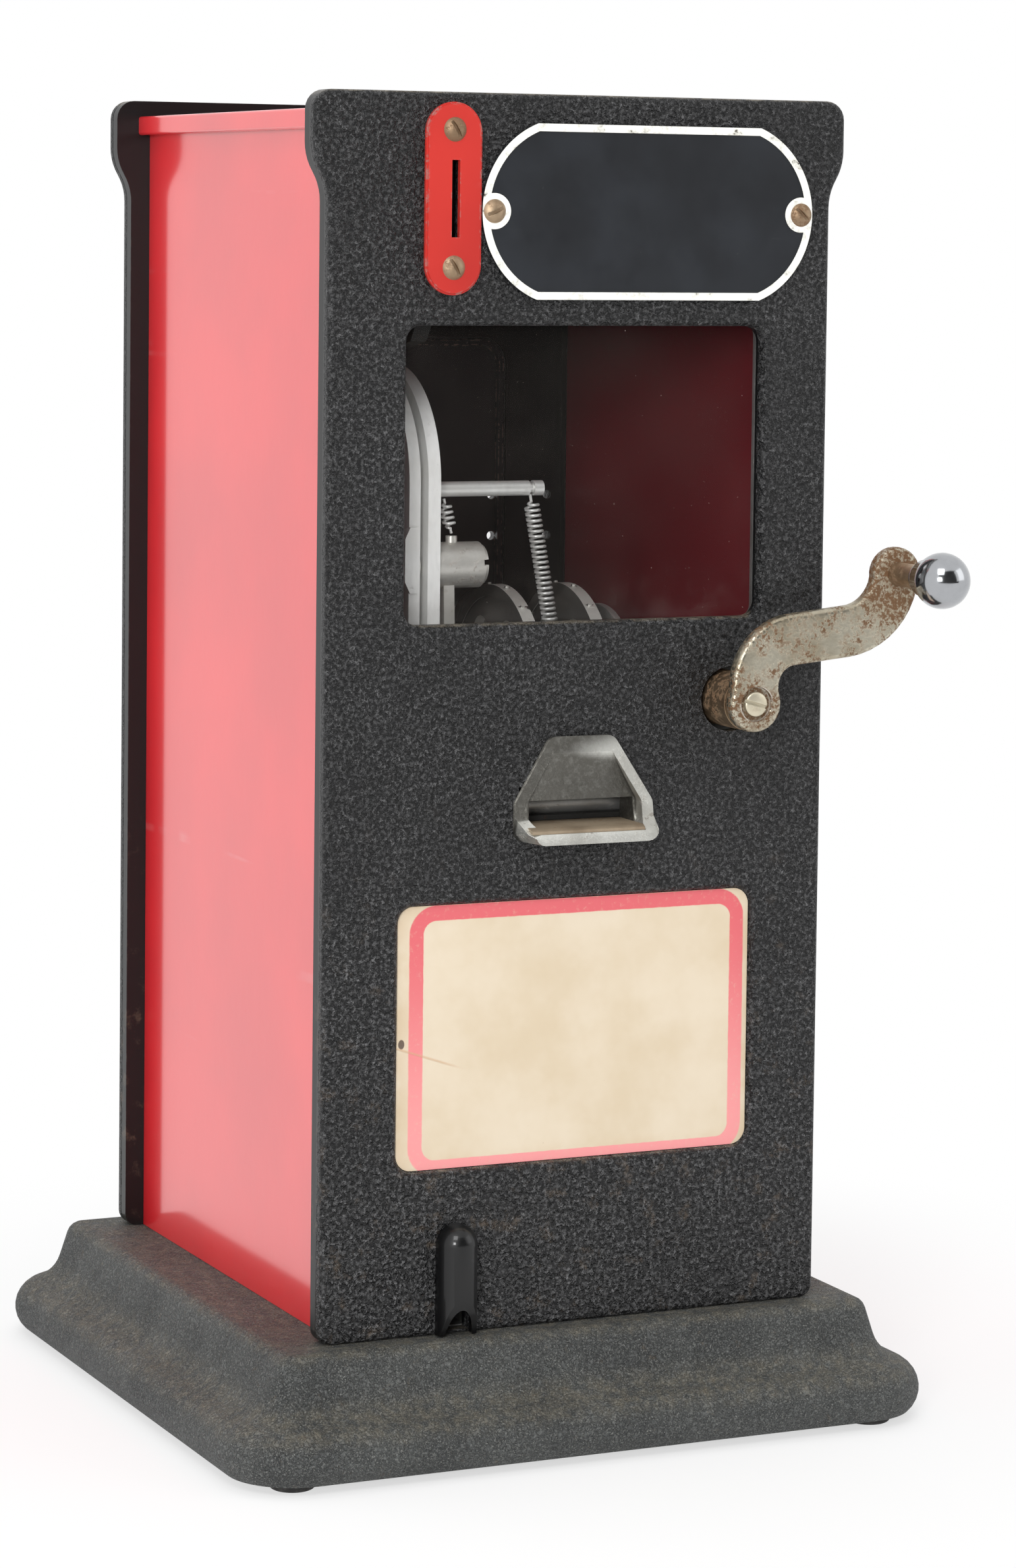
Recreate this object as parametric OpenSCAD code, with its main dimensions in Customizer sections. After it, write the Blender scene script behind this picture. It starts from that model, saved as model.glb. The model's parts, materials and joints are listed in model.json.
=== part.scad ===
// Countertop stamp vending machine: a square cast foot, two cast end plates, red sheet-metal
// sides, and a crank-driven feed drum behind a small window.
// Origin at the centre of the footprint, at table height. +X is the viewer's right,
// -Y is the front of the machine and +Z is up. All lengths are in millimetres.

/* [Cast end plates] */
// Distance between the outer faces of the front and rear plates
body_depth = 153; // [145:1:175]
// Width of the front plate beside its window
plate_side = 20.5; // [18:0.5:24]
// Amount by which the head of each plate is wider on each side
head_flare = 4.2; // [2:0.1:6]
// Height at which the flare of the head starts
flare_z = 322; // [310:1:325]
// Height that the flare of the head takes
flare_h = 15; // [10:1:16]
// Height of the top of the plates
top_z = 350; // [346:1:362]
// Depth of the plates at their rim
rim_depth = 6.8; // [6:0.1:9]
// Thickness of the plate web behind its face
web_t = 4; // [3.5:0.1:4.6]
// Width of the rim round the hollow back of a plate
rim_w = 6.8; // [5:0.1:8]
// Radius of the plates' top corners
top_corner_r = 5; // [3:0.5:8]
// Radius of the plates' bottom corners
low_corner_r = 3.5; // [2.5:0.5:6]
// Rounding of the plates' front edges
plate_edge_r = 1.5; // [0.8:0.1:2]

/* [Cast foot] */
// Height of the ledge on which the plates stand
ledge_z = 32; // [30:0.5:34]
// Half the size of the square ledge
ledge_half = 81; // [78:0.5:86]
// Wall of the casting above the hollow
foot_wall = 5; // [4:0.5:6]
// Height of the rubber feet
rubber_h = 2.4; // [2:0.1:4]
// Radius of the rubber feet
rubber_r = 6; // [5:0.5:8]
// Distance of the rubber feet from the centre line, sideways
rubber_x = 82.5; // [80:0.5:85]
// Distance of the rubber feet from the centre line, front to back
rubber_y = 87; // [84:0.5:88]

/* [Sheet-metal sides and lid] */
// Distance from a plate's edge in to the face of the side panel
panel_inset = 5.4; // [5:0.1:6.5]
// Thickness of the side panels
panel_t = 1.2; // [0.8:0.1:1.6]
// Amount by which the lid hangs over the side panels
lid_overhang = 3.3; // [3.2:0.1:4]
// Height of the lid's lip
lid_lip = 5.2; // [4:0.1:7]
// Distance from the top of the plates down to the top of the lid
lid_drop = 4.3; // [3:0.1:6]

/* [Window] */
// Width of the window opening
window_w = 101; // [90:1:106]
// Height of the window opening
window_h = 76; // [70:1:78]
// Height of the middle of the window
window_z = 253; // [252:0.5:254]
// Radius of the window's corners
window_r = 4; // [3:0.5:8]
// Rounding of the edges of window and card recess
opening_edge_r = 1.8; // [1:0.1:2.5]
// Thickness of the window glass
glass_t = 2.4; // [2:0.1:3]

/* [Card and sign] */
// Width of the printed card's recess
card_w = 100.8; // [90:0.2:106]
// Height of the printed card's recess
card_h = 68.5; // [60:0.5:72]
// Height of the middle of the card
card_z = 109; // [104:1:112]
// Depth of the card's recess
card_recess = 2; // [1:0.1:2.2]
// Width of the enamelled sign plate
sign_w = 94.7; // [88:0.1:98]
// Height of the enamelled sign plate
sign_h = 44.8; // [40:0.1:46]
// Height of the middle of the sign plate
sign_z = 320.1; // [319:0.1:321]
// Position of the sign plate's middle, sideways
sign_x = 17.6; // [17:0.1:18]
// Thickness of the sign plate
sign_t = 1.2; // [0.8:0.1:2]
// Radius of the sign plate's end curves
sign_end_r = 24; // [23:0.5:30]

/* [Coin entry] */
// Width of the coin plate
coin_plate_w = 15.4; // [14:0.1:18]
// Height of the coin plate
coin_plate_h = 48.7; // [46:0.1:52]
// Height of the middle of the coin plate
coin_plate_z = 323.1; // [322:0.1:324]
// Position of the coin plate's middle, sideways
coin_plate_x = -37.7; // [-38.5:0.1:-37]
// Length of the coin slot
slot_h = 19.5; // [19:0.1:21]
// Width of the coin slot
slot_w = 2.2; // [2:0.1:2.6]
// Gap between the two coin chute plates
chute_gap = 2.2; // [2:0.1:2.6]

/* [Feed drum] */
// Radius of the feed discs
disc_r = 28.2; // [26:0.1:28.4]
// Thickness of the feed discs
disc_t = 3.5; // [2.5:0.1:4]
// Distance between the outer faces of the feed discs, which is a stamp strip's width
strip_w = 23; // [20:0.5:24]
// Position of the left feed disc's outer face
disc_x = -8; // [-9:0.5:-7]
// Distance of the drum's axis behind the middle
drum_y = -38; // [-38.5:0.5:-37.5]
// Radius of the drum shaft
drum_shaft_r = 3; // [2.5:0.1:4]
// Number of stamp pins on each disc
pin_count = 16; // [8:2:24]
// Running clearance of every shaft in its bore, on the radius
run_gap = 0.05; // [0.02:0.01:0.08]

/* [Crank] */
// Position of the crank's axis, sideways
crank_x = 43.5; // [43:0.1:44]
// Height of the crank's axis, and of the drum's
crank_z = 193.5; // [193:0.1:194.5]
// Radius of the crank's bushing
bushing_r = 7.35; // [6.5:0.05:8]
// Radius of the crank shaft
crank_shaft_r = 4; // [3.5:0.1:4.5]
// Width of the crank arm
arm_w = 13.5; // [11:0.5:14]
// Thickness of the crank arm
arm_t = 4.3; // [3.5:0.1:5]
// Distance from the plate's face to the back of the arm
arm_gap = 10.7; // [10.6:0.1:12]
// Largest radius of the knob
knob_r = 7.2; // [6:0.1:8]
// Radius of the stud that carries the knob
stud_r = 3.15; // [2.8:0.05:3.6]

/* [Gears] */
// Teeth on the pinion of the crank shaft
pinion_teeth = 8; // [8:1:8]
// Teeth on the crown wheel of the drum
crown_teeth = 32; // [32:1:32]
// Pitch diameter per tooth
tooth_module = 1; // [0.9:0.05:1.05]

/* [Springs] */
// Outer diameter of the long return spring
main_spring_d = 4.6; // [4:0.1:5]
// Outer diameter of the short coin spring
coin_spring_d = 3.8; // [3.4:0.1:4.4]
// Diameter of the spring wire
wire_d = 0.8; // [0.6:0.05:0.85]
// Distance from one turn of a spring to the next
spring_pitch = 1.3; // [1.3:0.05:1.6]

/* [Rear door] */
// Width of the rear plate beside its door
door_side = 22.4; // [21.8:0.2:25]
// Height of the door panel
door_h = 249.4; // [240:0.2:252]
// Height of the bottom of the door panel
door_low_z = 37; // [36:0.5:40]
// Thickness of the door panel
door_t = 2; // [1.5:0.1:2.2]
// Gap all round the door
door_gap = 0.4; // [0.3:0.1:0.8]

/* [Cash box] */
// Height of the cash box
cash_h = 46; // [30:1:60]
// Thickness of the cash box sheet
cash_t = 1; // [0.8:0.1:1.5]

/* [Hidden] */
$fn = 48;
eps = 0.01;
seat_gap = 0.3;

// Faces and edges shared by the pieces
face_y = body_depth / 2;
rim_y = face_y - rim_depth;
web_y = face_y - web_t;
plate_half = window_w / 2 + plate_side;
door_w = 2 * (plate_half - door_side);
head_half = plate_half + head_flare;
head_z = flare_z + flare_h;
panel_x = plate_half - panel_inset;
panel_in = panel_x - panel_t;
lid_top = top_z - lid_drop;
lid_t = 1.5;
lid_half = panel_x + lid_overhang;
panel_top = lid_top - lid_t - 0.1;
drum_z = crank_z;
slot_x = coin_plate_x + 0.4;
screw_head_r = 3.1;

// Colours as photographed
black_paint = [0.2, 0.2, 0.21];
red_paint = [0.87, 0.16, 0.15];
slot_red = [0.87, 0.25, 0.21];
foot_grey = [0.37, 0.36, 0.34];
steel = [0.62, 0.62, 0.6];
bright = [0.83, 0.83, 0.84];
aged_nickel = [0.74, 0.7, 0.62];
brown = [0.45, 0.38, 0.3];

// ---- helpers ----

function unit(v) = v / norm(v);

// Points along an arc, in order
function arc(c, r, a0, a1, n) = [for (i = [0:n]) c + r * [cos(a0 + (a1 - a0) * i / n), sin(a0 + (a1 - a0) * i / n)]];

// Corners of a rounded rectangle given by its half sizes, anticlockwise
function round_rect(hw, hh, r, n = 6) = concat(
  arc([hw - r, hh - r], r, 0, 90, n), arc([r - hw, hh - r], r, 90, 180, n),
  arc([r - hw, r - hh], r, 180, 270, n), arc([hw - r, r - hh], r, 270, 360, n));

// Convex polygon, anticlockwise, with every corner rounded to radius r
function rounded(points, r, n = 4) = let (m = len(points)) [for (i = [0:m - 1]) each
  let (
    v = points[i], u = unit(points[(i + m - 1) % m] - v), w = unit(points[(i + 1) % m] - v),
    half = acos(u * w) / 2, c = v + unit(u + w) * r / sin(half), t = v + u * r / tan(half) - c,
    a0 = atan2(t[1], t[0]))
  arc(c, r, a0, a0 + 180 - 2 * half, n)];

// Same list of points lifted to three dimensions at depth y, as (x, y, z)
function at_depth(points, y) = [for (p = points) [p[0], y, p[1]]];

// Solid skin through a list of rings with the same number of points
module loft(rings) {
  n = len(rings[0]);
  m = len(rings);
  points = [for (ring = rings) each ring];
  sides = [for (k = [0:m - 2], i = [0:n - 1]) each [
    [k * n + i, k * n + (i + 1) % n, (k + 1) * n + (i + 1) % n],
    [k * n + i, (k + 1) * n + (i + 1) % n, (k + 1) * n + i]
  ]];
  caps = [[for (i = [n - 1:-1:0]) i], [for (i = [0:n - 1]) (m - 1) * n + i]];
  polyhedron(points = points, faces = concat(sides, caps), convexity = 6);
}

// Flat rounded rectangle with true corner arcs
module round_square(w, h, r) {
  square([w - 2 * r, h], center = true);
  square([w, h - 2 * r], center = true);
  for (sx = [-1, 1], sy = [-1, 1]) {
    translate([sx * (w / 2 - r), sy * (h / 2 - r)]) circle(r = r);
  }
}

// Extrudes a flat shape drawn as (x, z) from depth y0 back to depth y1
module along_y(y0, y1) {
  translate([0, y1, 0]) rotate([90, 0, 0]) linear_extrude(height = y1 - y0) children();
}

// Extrudes a flat shape drawn as (y, z) from x0 to x1
module along_x(x0, x1) {
  translate([x0, 0, 0]) rotate([90, 0, 90]) linear_extrude(height = x1 - x0) children();
}

// Round bar along Y, along X and along Z
module bar_y(x, z, r, y0, y1) {
  translate([x, y1, z]) rotate([90, 0, 0]) cylinder(r = r, h = y1 - y0);
}
module bar_x(y, z, r, x0, x1) {
  translate([x0, y, z]) rotate([0, 90, 0]) cylinder(r = r, h = x1 - x0);
}
module bar_z(x, y, r, z0, z1) {
  translate([x, y, z0]) cylinder(r = r, h = z1 - z0);
}

// Block between two opposite corners
module block(low, high) {
  translate(low) cube(high - low);
}

// Slotted screw along Y with a domed head that faces the front
module slotted_screw(x, z, seat_y, head_r, shank_r, length, turn) {
  head_h = head_r * 0.5;
  dome_r = (head_r * head_r + head_h * head_h) / (2 * head_h);
  translate([x, seat_y, z]) rotate([90, turn, 0]) {
    difference() {
      intersection() {
        cylinder(r = head_r, h = head_h);
        translate([0, 0, head_h - dome_r]) sphere(r = dome_r);
      }
      translate([-head_r, -head_r * 0.14, head_h * 0.45]) cube([2 * head_r, head_r * 0.28, head_h]);
    }
    translate([0, 0, -length]) cylinder(r = shank_r, h = length + eps);
  }
}

// ---- cast end plates ----

// Outline of an end plate drawn in by the amount d, anticlockwise as (x, z)
flare_r = (flare_h * flare_h + head_flare * head_flare) / (4 * head_flare);
flare_a = 2 * atan(head_flare / flare_h);
function right_edge(d) = concat(
  arc([plate_half - low_corner_r, ledge_z + low_corner_r], low_corner_r - d, -90, 0, 5),
  arc([plate_half + flare_r, flare_z], flare_r + d, 180, 180 - flare_a, 5),
  arc([head_half - flare_r, head_z], flare_r - d, -flare_a * 0.8, 0, 4),
  arc([head_half - top_corner_r, top_z - top_corner_r], top_corner_r - d, 0, 90, 6));
function mirrored(points) = [for (i = [len(points) - 1:-1:0]) [-points[i][0], points[i][1]]];
function plate_outline(d) = concat(right_edge(d), mirrored(right_edge(d)));

// Plate with its face at -face_y, rounded towards the front. The loft runs past both flat faces, which are cut true
module plate_blank() {
  steps = 4;
  function ring(d, y) = at_depth(plate_outline(d), y);
  rings = [for (k = [1:steps]) let (a = 90 * k / steps)
    ring(plate_edge_r * (1 - sin(a)), -face_y + plate_edge_r * (1 - cos(a)))];
  first_d = plate_edge_r * (1 + sin(90 / steps));
  first_y = -face_y - plate_edge_r * (1 - cos(90 / steps));
  difference() {
    loft(concat([ring(first_d, first_y)], rings, [ring(0, -rim_y + 1)]));
    block([-head_half - 1, -face_y - 2, 0], [head_half + 1, -face_y, top_z + 1]);
    block([-head_half - 1, -rim_y, 0], [head_half + 1, -rim_y + 2, top_z + 1]);
  }
}

// Hollow behind the web of a plate
module plate_hollow() {
  low = ledge_z + rim_w;
  high = top_z - rim_w;
  wide = plate_half - rim_w;
  along_y(-web_y, -rim_y + 1) {
    translate([0, (low + high) / 2]) round_square(2 * wide, high - low, 2);
  }
}

// Cutter for an opening whose front edge is rounded
module rounded_cut(x, z, w, h, r, depth) {
  steps = 5;
  e = opening_edge_r;
  function grow(t) = e - sqrt(max(0, e * e - (e - t) * (e - t)));
  rings = [for (k = [0:steps]) let (t = e * pow(k / steps, 2), g = grow(t))
    [for (p = round_rect(w / 2 + g, h / 2 + g, r + g)) [p[0] + x, -face_y + t, p[1] + z]]];
  front = [for (p = round_rect(w / 2 + e, h / 2 + e, r + e)) [p[0] + x, -face_y - 1, p[1] + z]];
  loft(concat([front], rings));
  if (depth > e) {
    along_y(-face_y + e - eps, -face_y + depth) translate([x, z]) round_square(w, h, r);
  }
}

lug_x = 50;
lug_y = rim_y - 4;
lug_bore_r = 2;
module foot_lug(sx) {
  difference() {
    block([sx * lug_x - 7, -web_y - eps, ledge_z], [sx * lug_x + 7, -lug_y + 5, ledge_z + 14]);
    bar_z(sx * lug_x, -lug_y, lug_bore_r, ledge_z - 1, ledge_z + 12);
  }
}

window_x = 1.1;
card_x = 0.2;
window_low = window_z - window_h / 2;
window_high = window_z + window_h / 2;
retainer_edge = 9;
retainer_boss_x = window_w / 2 + 7;
retainer_boss_z = window_h / 2 - 6;
chute_half = 18.8;
mouth_half = 15;
chute_drop = 35;
chute_low = crank_z - chute_drop;
mouth_low = chute_low + 2.9;
mouth_high = mouth_low + 7.6;
hood_x = -33.9;
hood_r = 5.35;
hood_top = 61;
channel_w = 12;
coin_screw_dz = 17.4;
sign_screw_dx = 44;
module front_plate() {
  color(black_paint) difference() {
    union() {
      difference() {
        plate_blank();
        plate_hollow();
      }
      for (sx = [-1, 1]) foot_lug(sx);
      for (sx = [-1, 1], sz = [-1, 1]) {
        bar_y(window_x + sx * retainer_boss_x, window_z + sz * retainer_boss_z, 2.6, -web_y - eps, -web_y + glass_t);
      }
    }
    rounded_cut(window_x, window_z, window_w, window_h, window_r, web_t + 1);
    rounded_cut(card_x, card_z, card_w, card_h, 4.5, card_recess);
    for (sx = [-1, 1], sz = [-1, 1]) {
      bar_y(window_x + sx * retainer_boss_x, window_z + sz * retainer_boss_z, 1.2, -web_y - 1, -web_y + glass_t + 1);
    }
    along_y(-face_y - 1, -web_y + 1) {
      translate([slot_x, coin_plate_z]) square([slot_w + 1, slot_h + 2], center = true);
      translate([0, (mouth_low + mouth_high) / 2 + 1]) square([2 * (mouth_half + 2.2), 13], center = true);
      translate([hood_x, ledge_z + 8]) square([8, 14], center = true);
    }
    block([hood_x - channel_w / 2 - 0.2, -web_y, ledge_z - 1], [hood_x + channel_w / 2 + 0.2, -rim_y + 1, ledge_z + rim_w + 1]);
    bar_y(crank_x, crank_z, bushing_r + 1.2, -face_y - 1, -web_y + 1);
    for (s = [-1, 1]) {
      bar_y(coin_plate_x, coin_plate_z + s * coin_screw_dz, 1.5, -face_y - 1, -web_y + 1);
      bar_y(sign_x + s * sign_screw_dx, sign_z, 1.5, -face_y - 1, -web_y + 1);
    }
  }
}

door_mid_z = door_low_z + door_h / 2;
door_ledge = 2.6;
module rear_plate() {
  rebate_w = door_w + 2 * door_gap;
  rebate_h = door_h + 2 * door_gap;
  color(black_paint) rotate([0, 0, 180]) difference() {
    union() {
      difference() {
        plate_blank();
        plate_hollow();
      }
      for (sx = [-1, 1]) foot_lug(sx);
    }
    along_y(-face_y - 1, -face_y + door_t) {
      translate([0, door_mid_z]) round_square(rebate_w, rebate_h, 10);
    }
    along_y(-face_y - 1, -web_y + 1) {
      translate([0, door_mid_z]) round_square(rebate_w - 2 * door_ledge, rebate_h - 2 * door_ledge, 8);
    }
    for (hz = hinge_z, dz = [-6, 6]) {
      bar_y(-hinge_x - hinge_hole_dx, hz + dz, 1.3, -face_y - 1, -web_y + 1);
    }
  }
}

// ---- cast foot ----

// The moulding: a rounded shoulder, a cove and a round nose that meet at tangents
shoulder_c = [-0.2, ledge_z - 4];
shoulder_r = 4;
cove_c = [15.5, ledge_z - 6.5];
cove_r = 10.2;
nose_c = [10.5, ledge_z - 23.8];
nose_r = norm(cove_c - nose_c) - cove_r;
nose_a = atan2(cove_c[1] - nose_c[1], cove_c[0] - nose_c[0]);
nose_low = -asin(min(0.99, (nose_c[1] - rubber_h) / nose_r));
foot_corner_r = 1.5;
moulding = concat(
  arc(nose_c, nose_r, nose_low, nose_a, 9),
  arc(cove_c, cove_r, nose_a + 180, 197, 6),
  arc(shoulder_c, shoulder_r, 17, 90, 4));
module moulding_half() {
  inner = -ledge_half + foot_corner_r + 0.5;
  polygon(concat([[inner, ledge_z], [inner, rubber_h]], moulding));
}
module base() {
  run = ledge_half - foot_corner_r;
  color(foot_grey) difference() {
    union() {
      for (a = [0:90:270]) rotate([0, 0, a]) {
        translate([ledge_half, -run, 0]) rotate([90, 0, 180]) mirror([1, 0, 0]) {
          linear_extrude(height = 2 * run) polygon(concat([[-ledge_half, ledge_z], [-ledge_half, rubber_h]], moulding));
        }
        translate([run, run, 0]) rotate_extrude() {
          polygon(concat([[0, ledge_z], [0, rubber_h]], [for (p = moulding) [p[0] + foot_corner_r, p[1]]]));
        }
      }
    }
    difference() {
      union() {
        block([-ledge_half + 1, -ledge_half + 1, -1], [ledge_half - 1, ledge_half - 1, ledge_z - foot_wall]);
        block([-ledge_half - 8, -ledge_half - 8, -1], [ledge_half + 8, ledge_half + 8, ledge_z - 19]);
      }
      for (sx = [-1, 1], sy = [-1, 1]) bar_z(sx * rubber_x, sy * rubber_y, rubber_r + 1, rubber_h, ledge_z - 10);
    }
    for (sx = [-1, 1], sy = [-1, 1]) {
      bar_z(sx * rubber_x, sy * rubber_y, 2.5, rubber_h - 1, rubber_h + 8);
      bar_z(sx * lug_x, sy * lug_y, lug_bore_r + 0.3, ledge_z - foot_wall - 1, ledge_z + 1);
    }
  }
}

module feet() {
  color([0.06, 0.06, 0.06]) for (sx = [-1, 1], sy = [-1, 1]) translate([sx * rubber_x, sy * rubber_y, 0]) {
    rotate_extrude() {
      polygon(concat([[0, 0]], arc([rubber_r - 1.2, 1.2], 1.2, -90, 0, 5), [[rubber_r, rubber_h], [0, rubber_h]]));
    }
    translate([0, 0, rubber_h - eps]) cylinder(r = 2.45, h = 7);
  }
}

module base_bolts() {
  head_h = 2.8;
  low = ledge_z - foot_wall;
  color(steel) for (sx = [-1, 1], sy = [-1, 1]) translate([sx * lug_x, sy * lug_y, 0]) {
    translate([0, 0, low - head_h]) cylinder(r = 4, h = head_h, $fn = 6);
    translate([0, 0, low - eps]) cylinder(r = lug_bore_r - 0.03, h = foot_wall + 10);
  }
}

// ---- sides and lid ----

module panel(s) {
  flange = 8;
  color(red_paint) mirror([s < 0 ? 1 : 0, 0, 0]) {
    block([panel_in, -rim_y, ledge_z], [panel_x, rim_y, panel_top]);
    block([panel_x - flange, -rim_y, ledge_z], [panel_x, rim_y, ledge_z + panel_t]);
    block([panel_x - flange, -rim_y, panel_top - panel_t], [panel_x, rim_y, panel_top]);
  }
}
module side_panel_left() { panel(-1); }
module side_panel_right() { panel(1); }

module lid() {
  low = lid_top - lid_lip;
  color(red_paint) difference() {
    along_y(-rim_y, rim_y) {
      translate([0, (lid_top + low) / 2]) round_square(2 * lid_half, lid_lip, 0.8);
    }
    block([-panel_x - seat_gap, -rim_y - 1, low - 1], [panel_x + seat_gap, rim_y + 1, lid_top - lid_t]);
  }
}

// ---- front fittings ----

module window_glass() {
  color([0.8, 0.85, 0.85, 0.3]) along_y(-web_y, -web_y + glass_t) {
    translate([window_x, window_z]) round_square(window_w + 6, window_h + 6, 3);
  }
}
module glass_retainer() {
  back = -web_y + glass_t;
  color(steel) difference() {
    along_y(back, back + 1.2) {
      translate([window_x, window_z]) round_square(window_w + 2 * retainer_edge + 4, window_h + retainer_edge, 4);
    }
    along_y(back - 1, back + 3) translate([window_x, window_z]) round_square(window_w + 2, window_h + 1, 3);
    for (sx = [-1, 1], sz = [-1, 1]) {
      bar_y(window_x + sx * retainer_boss_x, window_z + sz * retainer_boss_z, 1.25, back - 1, back + 3);
    }
  }
}
module retainer_screws() {
  back = -web_y + glass_t + 1.2;
  color(steel) for (sx = [-1, 1], sz = [-1, 1]) {
    rotate([0, 0, 180]) slotted_screw(-window_x - sx * retainer_boss_x, window_z + sz * retainer_boss_z, -back, 2.2, 1.15, 4, 20);
  }
}
module label_card() {
  front = -face_y + card_recess;
  color([0.95, 0.89, 0.79]) along_y(front - 0.4, front) {
    translate([card_x, card_z]) round_square(card_w - 0.3, card_h - 0.3, 4.3);
  }
}

// Plate with flat top and bottom and bowed ends
module sign_shape(d) {
  bow = sign_end_r - d;
  intersection() {
    square([sign_w - 2 * d, sign_h - 2 * d], center = true);
    union() {
      translate([-sign_w / 2 + sign_end_r, 0]) circle(r = bow, $fn = 96);
      translate([sign_w / 2 - sign_end_r, 0]) circle(r = bow, $fn = 96);
      square([sign_w - 2 * sign_end_r, sign_h], center = true);
    }
  }
}
module sign_plate() {
  border = 2;
  ear_r = 4.6;
  color([0.92, 0.92, 0.9]) difference() {
    along_y(-face_y - sign_t, -face_y) translate([sign_x, sign_z]) sign_shape(0);
    difference() {
      along_y(-face_y - sign_t - 1, -face_y - sign_t + 0.35) translate([sign_x, sign_z]) sign_shape(border);
      for (s = [-1, 1]) bar_y(sign_x + s * sign_screw_dx, sign_z, ear_r, -face_y - 3, -face_y);
    }
    for (s = [-1, 1]) bar_y(sign_x + s * sign_screw_dx, sign_z, 1.5, -face_y - 3, -face_y + 1);
  }
}
module sign_screws() {
  color([0.5, 0.4, 0.3]) for (s = [-1, 1]) {
    slotted_screw(sign_x + s * sign_screw_dx, sign_z, -face_y - sign_t, screw_head_r, 1.45, sign_t + 5, s * 35 + 10);
  }
}

module coin_plate() {
  t = 1.5;
  r = coin_plate_w / 2;
  half = coin_plate_h / 2 - r;
  color(slot_red) difference() {
    for (k = [0, 1]) {
      step = 0.5 * k;
      along_y(-face_y - t + 0.5 * (1 - k), -face_y) translate([coin_plate_x, coin_plate_z]) {
        square([2 * (r - step), 2 * half], center = true);
        for (s = [-1, 1]) translate([0, s * half]) circle(r = r - step);
      }
    }
    along_y(-face_y - t - 1, -face_y + 1) {
      translate([slot_x, coin_plate_z]) square([slot_w, slot_h], center = true);
    }
    for (s = [-1, 1]) bar_y(coin_plate_x, coin_plate_z + s * coin_screw_dz, 1.5, -face_y - 3, -face_y + 1);
  }
}
module coin_plate_screws() {
  color([0.5, 0.4, 0.3]) for (s = [-1, 1]) {
    slotted_screw(coin_plate_x, coin_plate_z + s * coin_screw_dz, -face_y - 1.5, screw_head_r, 1.45, 1.5 + web_t - 0.4, 60);
  }
}

// Cast frame round the stamp mouth: a rounded trapezoid with a hollowed face
chute_high = chute_low + 27;
chute_top_half = 9;
chute_knee = mouth_high - 0.4;
chute_proud = 9;
module chute_outline(d) {
  polygon(rounded([
    [chute_half - d, chute_low + d], [chute_half - d, chute_knee], [chute_top_half - d * 0.4, chute_high - d],
    [-chute_top_half + d * 0.4, chute_high - d], [-chute_half + d, chute_knee], [-chute_half + d, chute_low + d]
  ], 3));
}
module stamp_chute() {
  crest = 2.2;
  color(bright) difference() {
    union() {
      intersection() {
        along_y(-face_y - chute_proud, -face_y) chute_outline(0);
        along_x(-chute_half - 1, chute_half + 1) polygon([
          [-face_y, chute_low - 1], [-face_y - chute_proud, chute_low - 1],
          [-face_y - chute_proud, chute_knee - 4], [-face_y - crest, chute_high + 0.5], [-face_y, chute_high + 0.5]
        ]);
      }
      along_y(-face_y - eps, -web_y + 3) {
        translate([0, (mouth_low + mouth_high) / 2 + 0.4]) square([2 * (mouth_half + 2), 11.4], center = true);
      }
    }
    // hollowed face above the mouth
    intersection() {
      along_y(-face_y - 20, -face_y - 0.6) chute_outline(3.2);
      translate([-chute_half, 0, 0]) bar_x(-face_y - 15.5, mouth_high + 3, 15, 0, 2 * chute_half);
      block([-chute_half, -face_y - 30, mouth_low], [chute_half, -face_y, chute_high]);
    }
    along_y(-face_y - 20, -web_y + 4) {
      translate([0, (mouth_low + mouth_high) / 2]) square([2 * mouth_half, mouth_high - mouth_low], center = true);
    }
  }
}
module tear_bar() {
  t = 1.4;
  color(brown) difference() {
    block([-mouth_half + 0.1, -face_y - chute_proud + 0.4, mouth_low], [mouth_half - 0.1, -web_y + 3, mouth_low + t]);
    translate([0, -face_y - chute_proud + 0.4, mouth_low + t]) rotate([30, 0, 0]) {
      cube([2 * mouth_half, 3, 1.2], center = true);
    }
  }
}

module return_hood() {
  axis_y = -face_y - 1.4;
  dome = hood_top - hood_r;
  color([0.05, 0.05, 0.05]) difference() {
    union() {
      bar_z(hood_x, axis_y, hood_r, ledge_z + 0.3, dome);
      translate([hood_x, axis_y, dome]) sphere(r = hood_r);
      block([hood_x - hood_r, axis_y, ledge_z + 0.3], [hood_x + hood_r, -face_y, dome]);
      along_y(axis_y, -face_y) translate([hood_x, dome]) circle(r = hood_r);
    }
    block([hood_x - 20, -face_y, 0], [hood_x + 20, 0, hood_top + 5]);
    bar_z(hood_x, axis_y, hood_r - 1.2, 0, ledge_z + 16);
    block([hood_x - hood_r + 1.2, axis_y, 0], [hood_x + hood_r - 1.2, 0, ledge_z + 16]);
    along_x(hood_x - 20, hood_x + 20) polygon([
      [axis_y - hood_r - 1, ledge_z - 1], [axis_y - 1, ledge_z - 1], [axis_y - hood_r - 1, ledge_z + 13]
    ]);
  }
}

module return_channel() {
  w = channel_w;
  t = 1;
  color(steel) difference() {
    block([hood_x - w / 2, -web_y, ledge_z + 0.3], [hood_x + w / 2, -web_y + 15, ledge_z + 34]);
    block([hood_x - w / 2 + t, -web_y - 1, ledge_z + 0.3 + t], [hood_x + w / 2 - t, -web_y + 15 - t, ledge_z + 35]);
  }
}

// ---- mechanism frame ----

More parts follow.
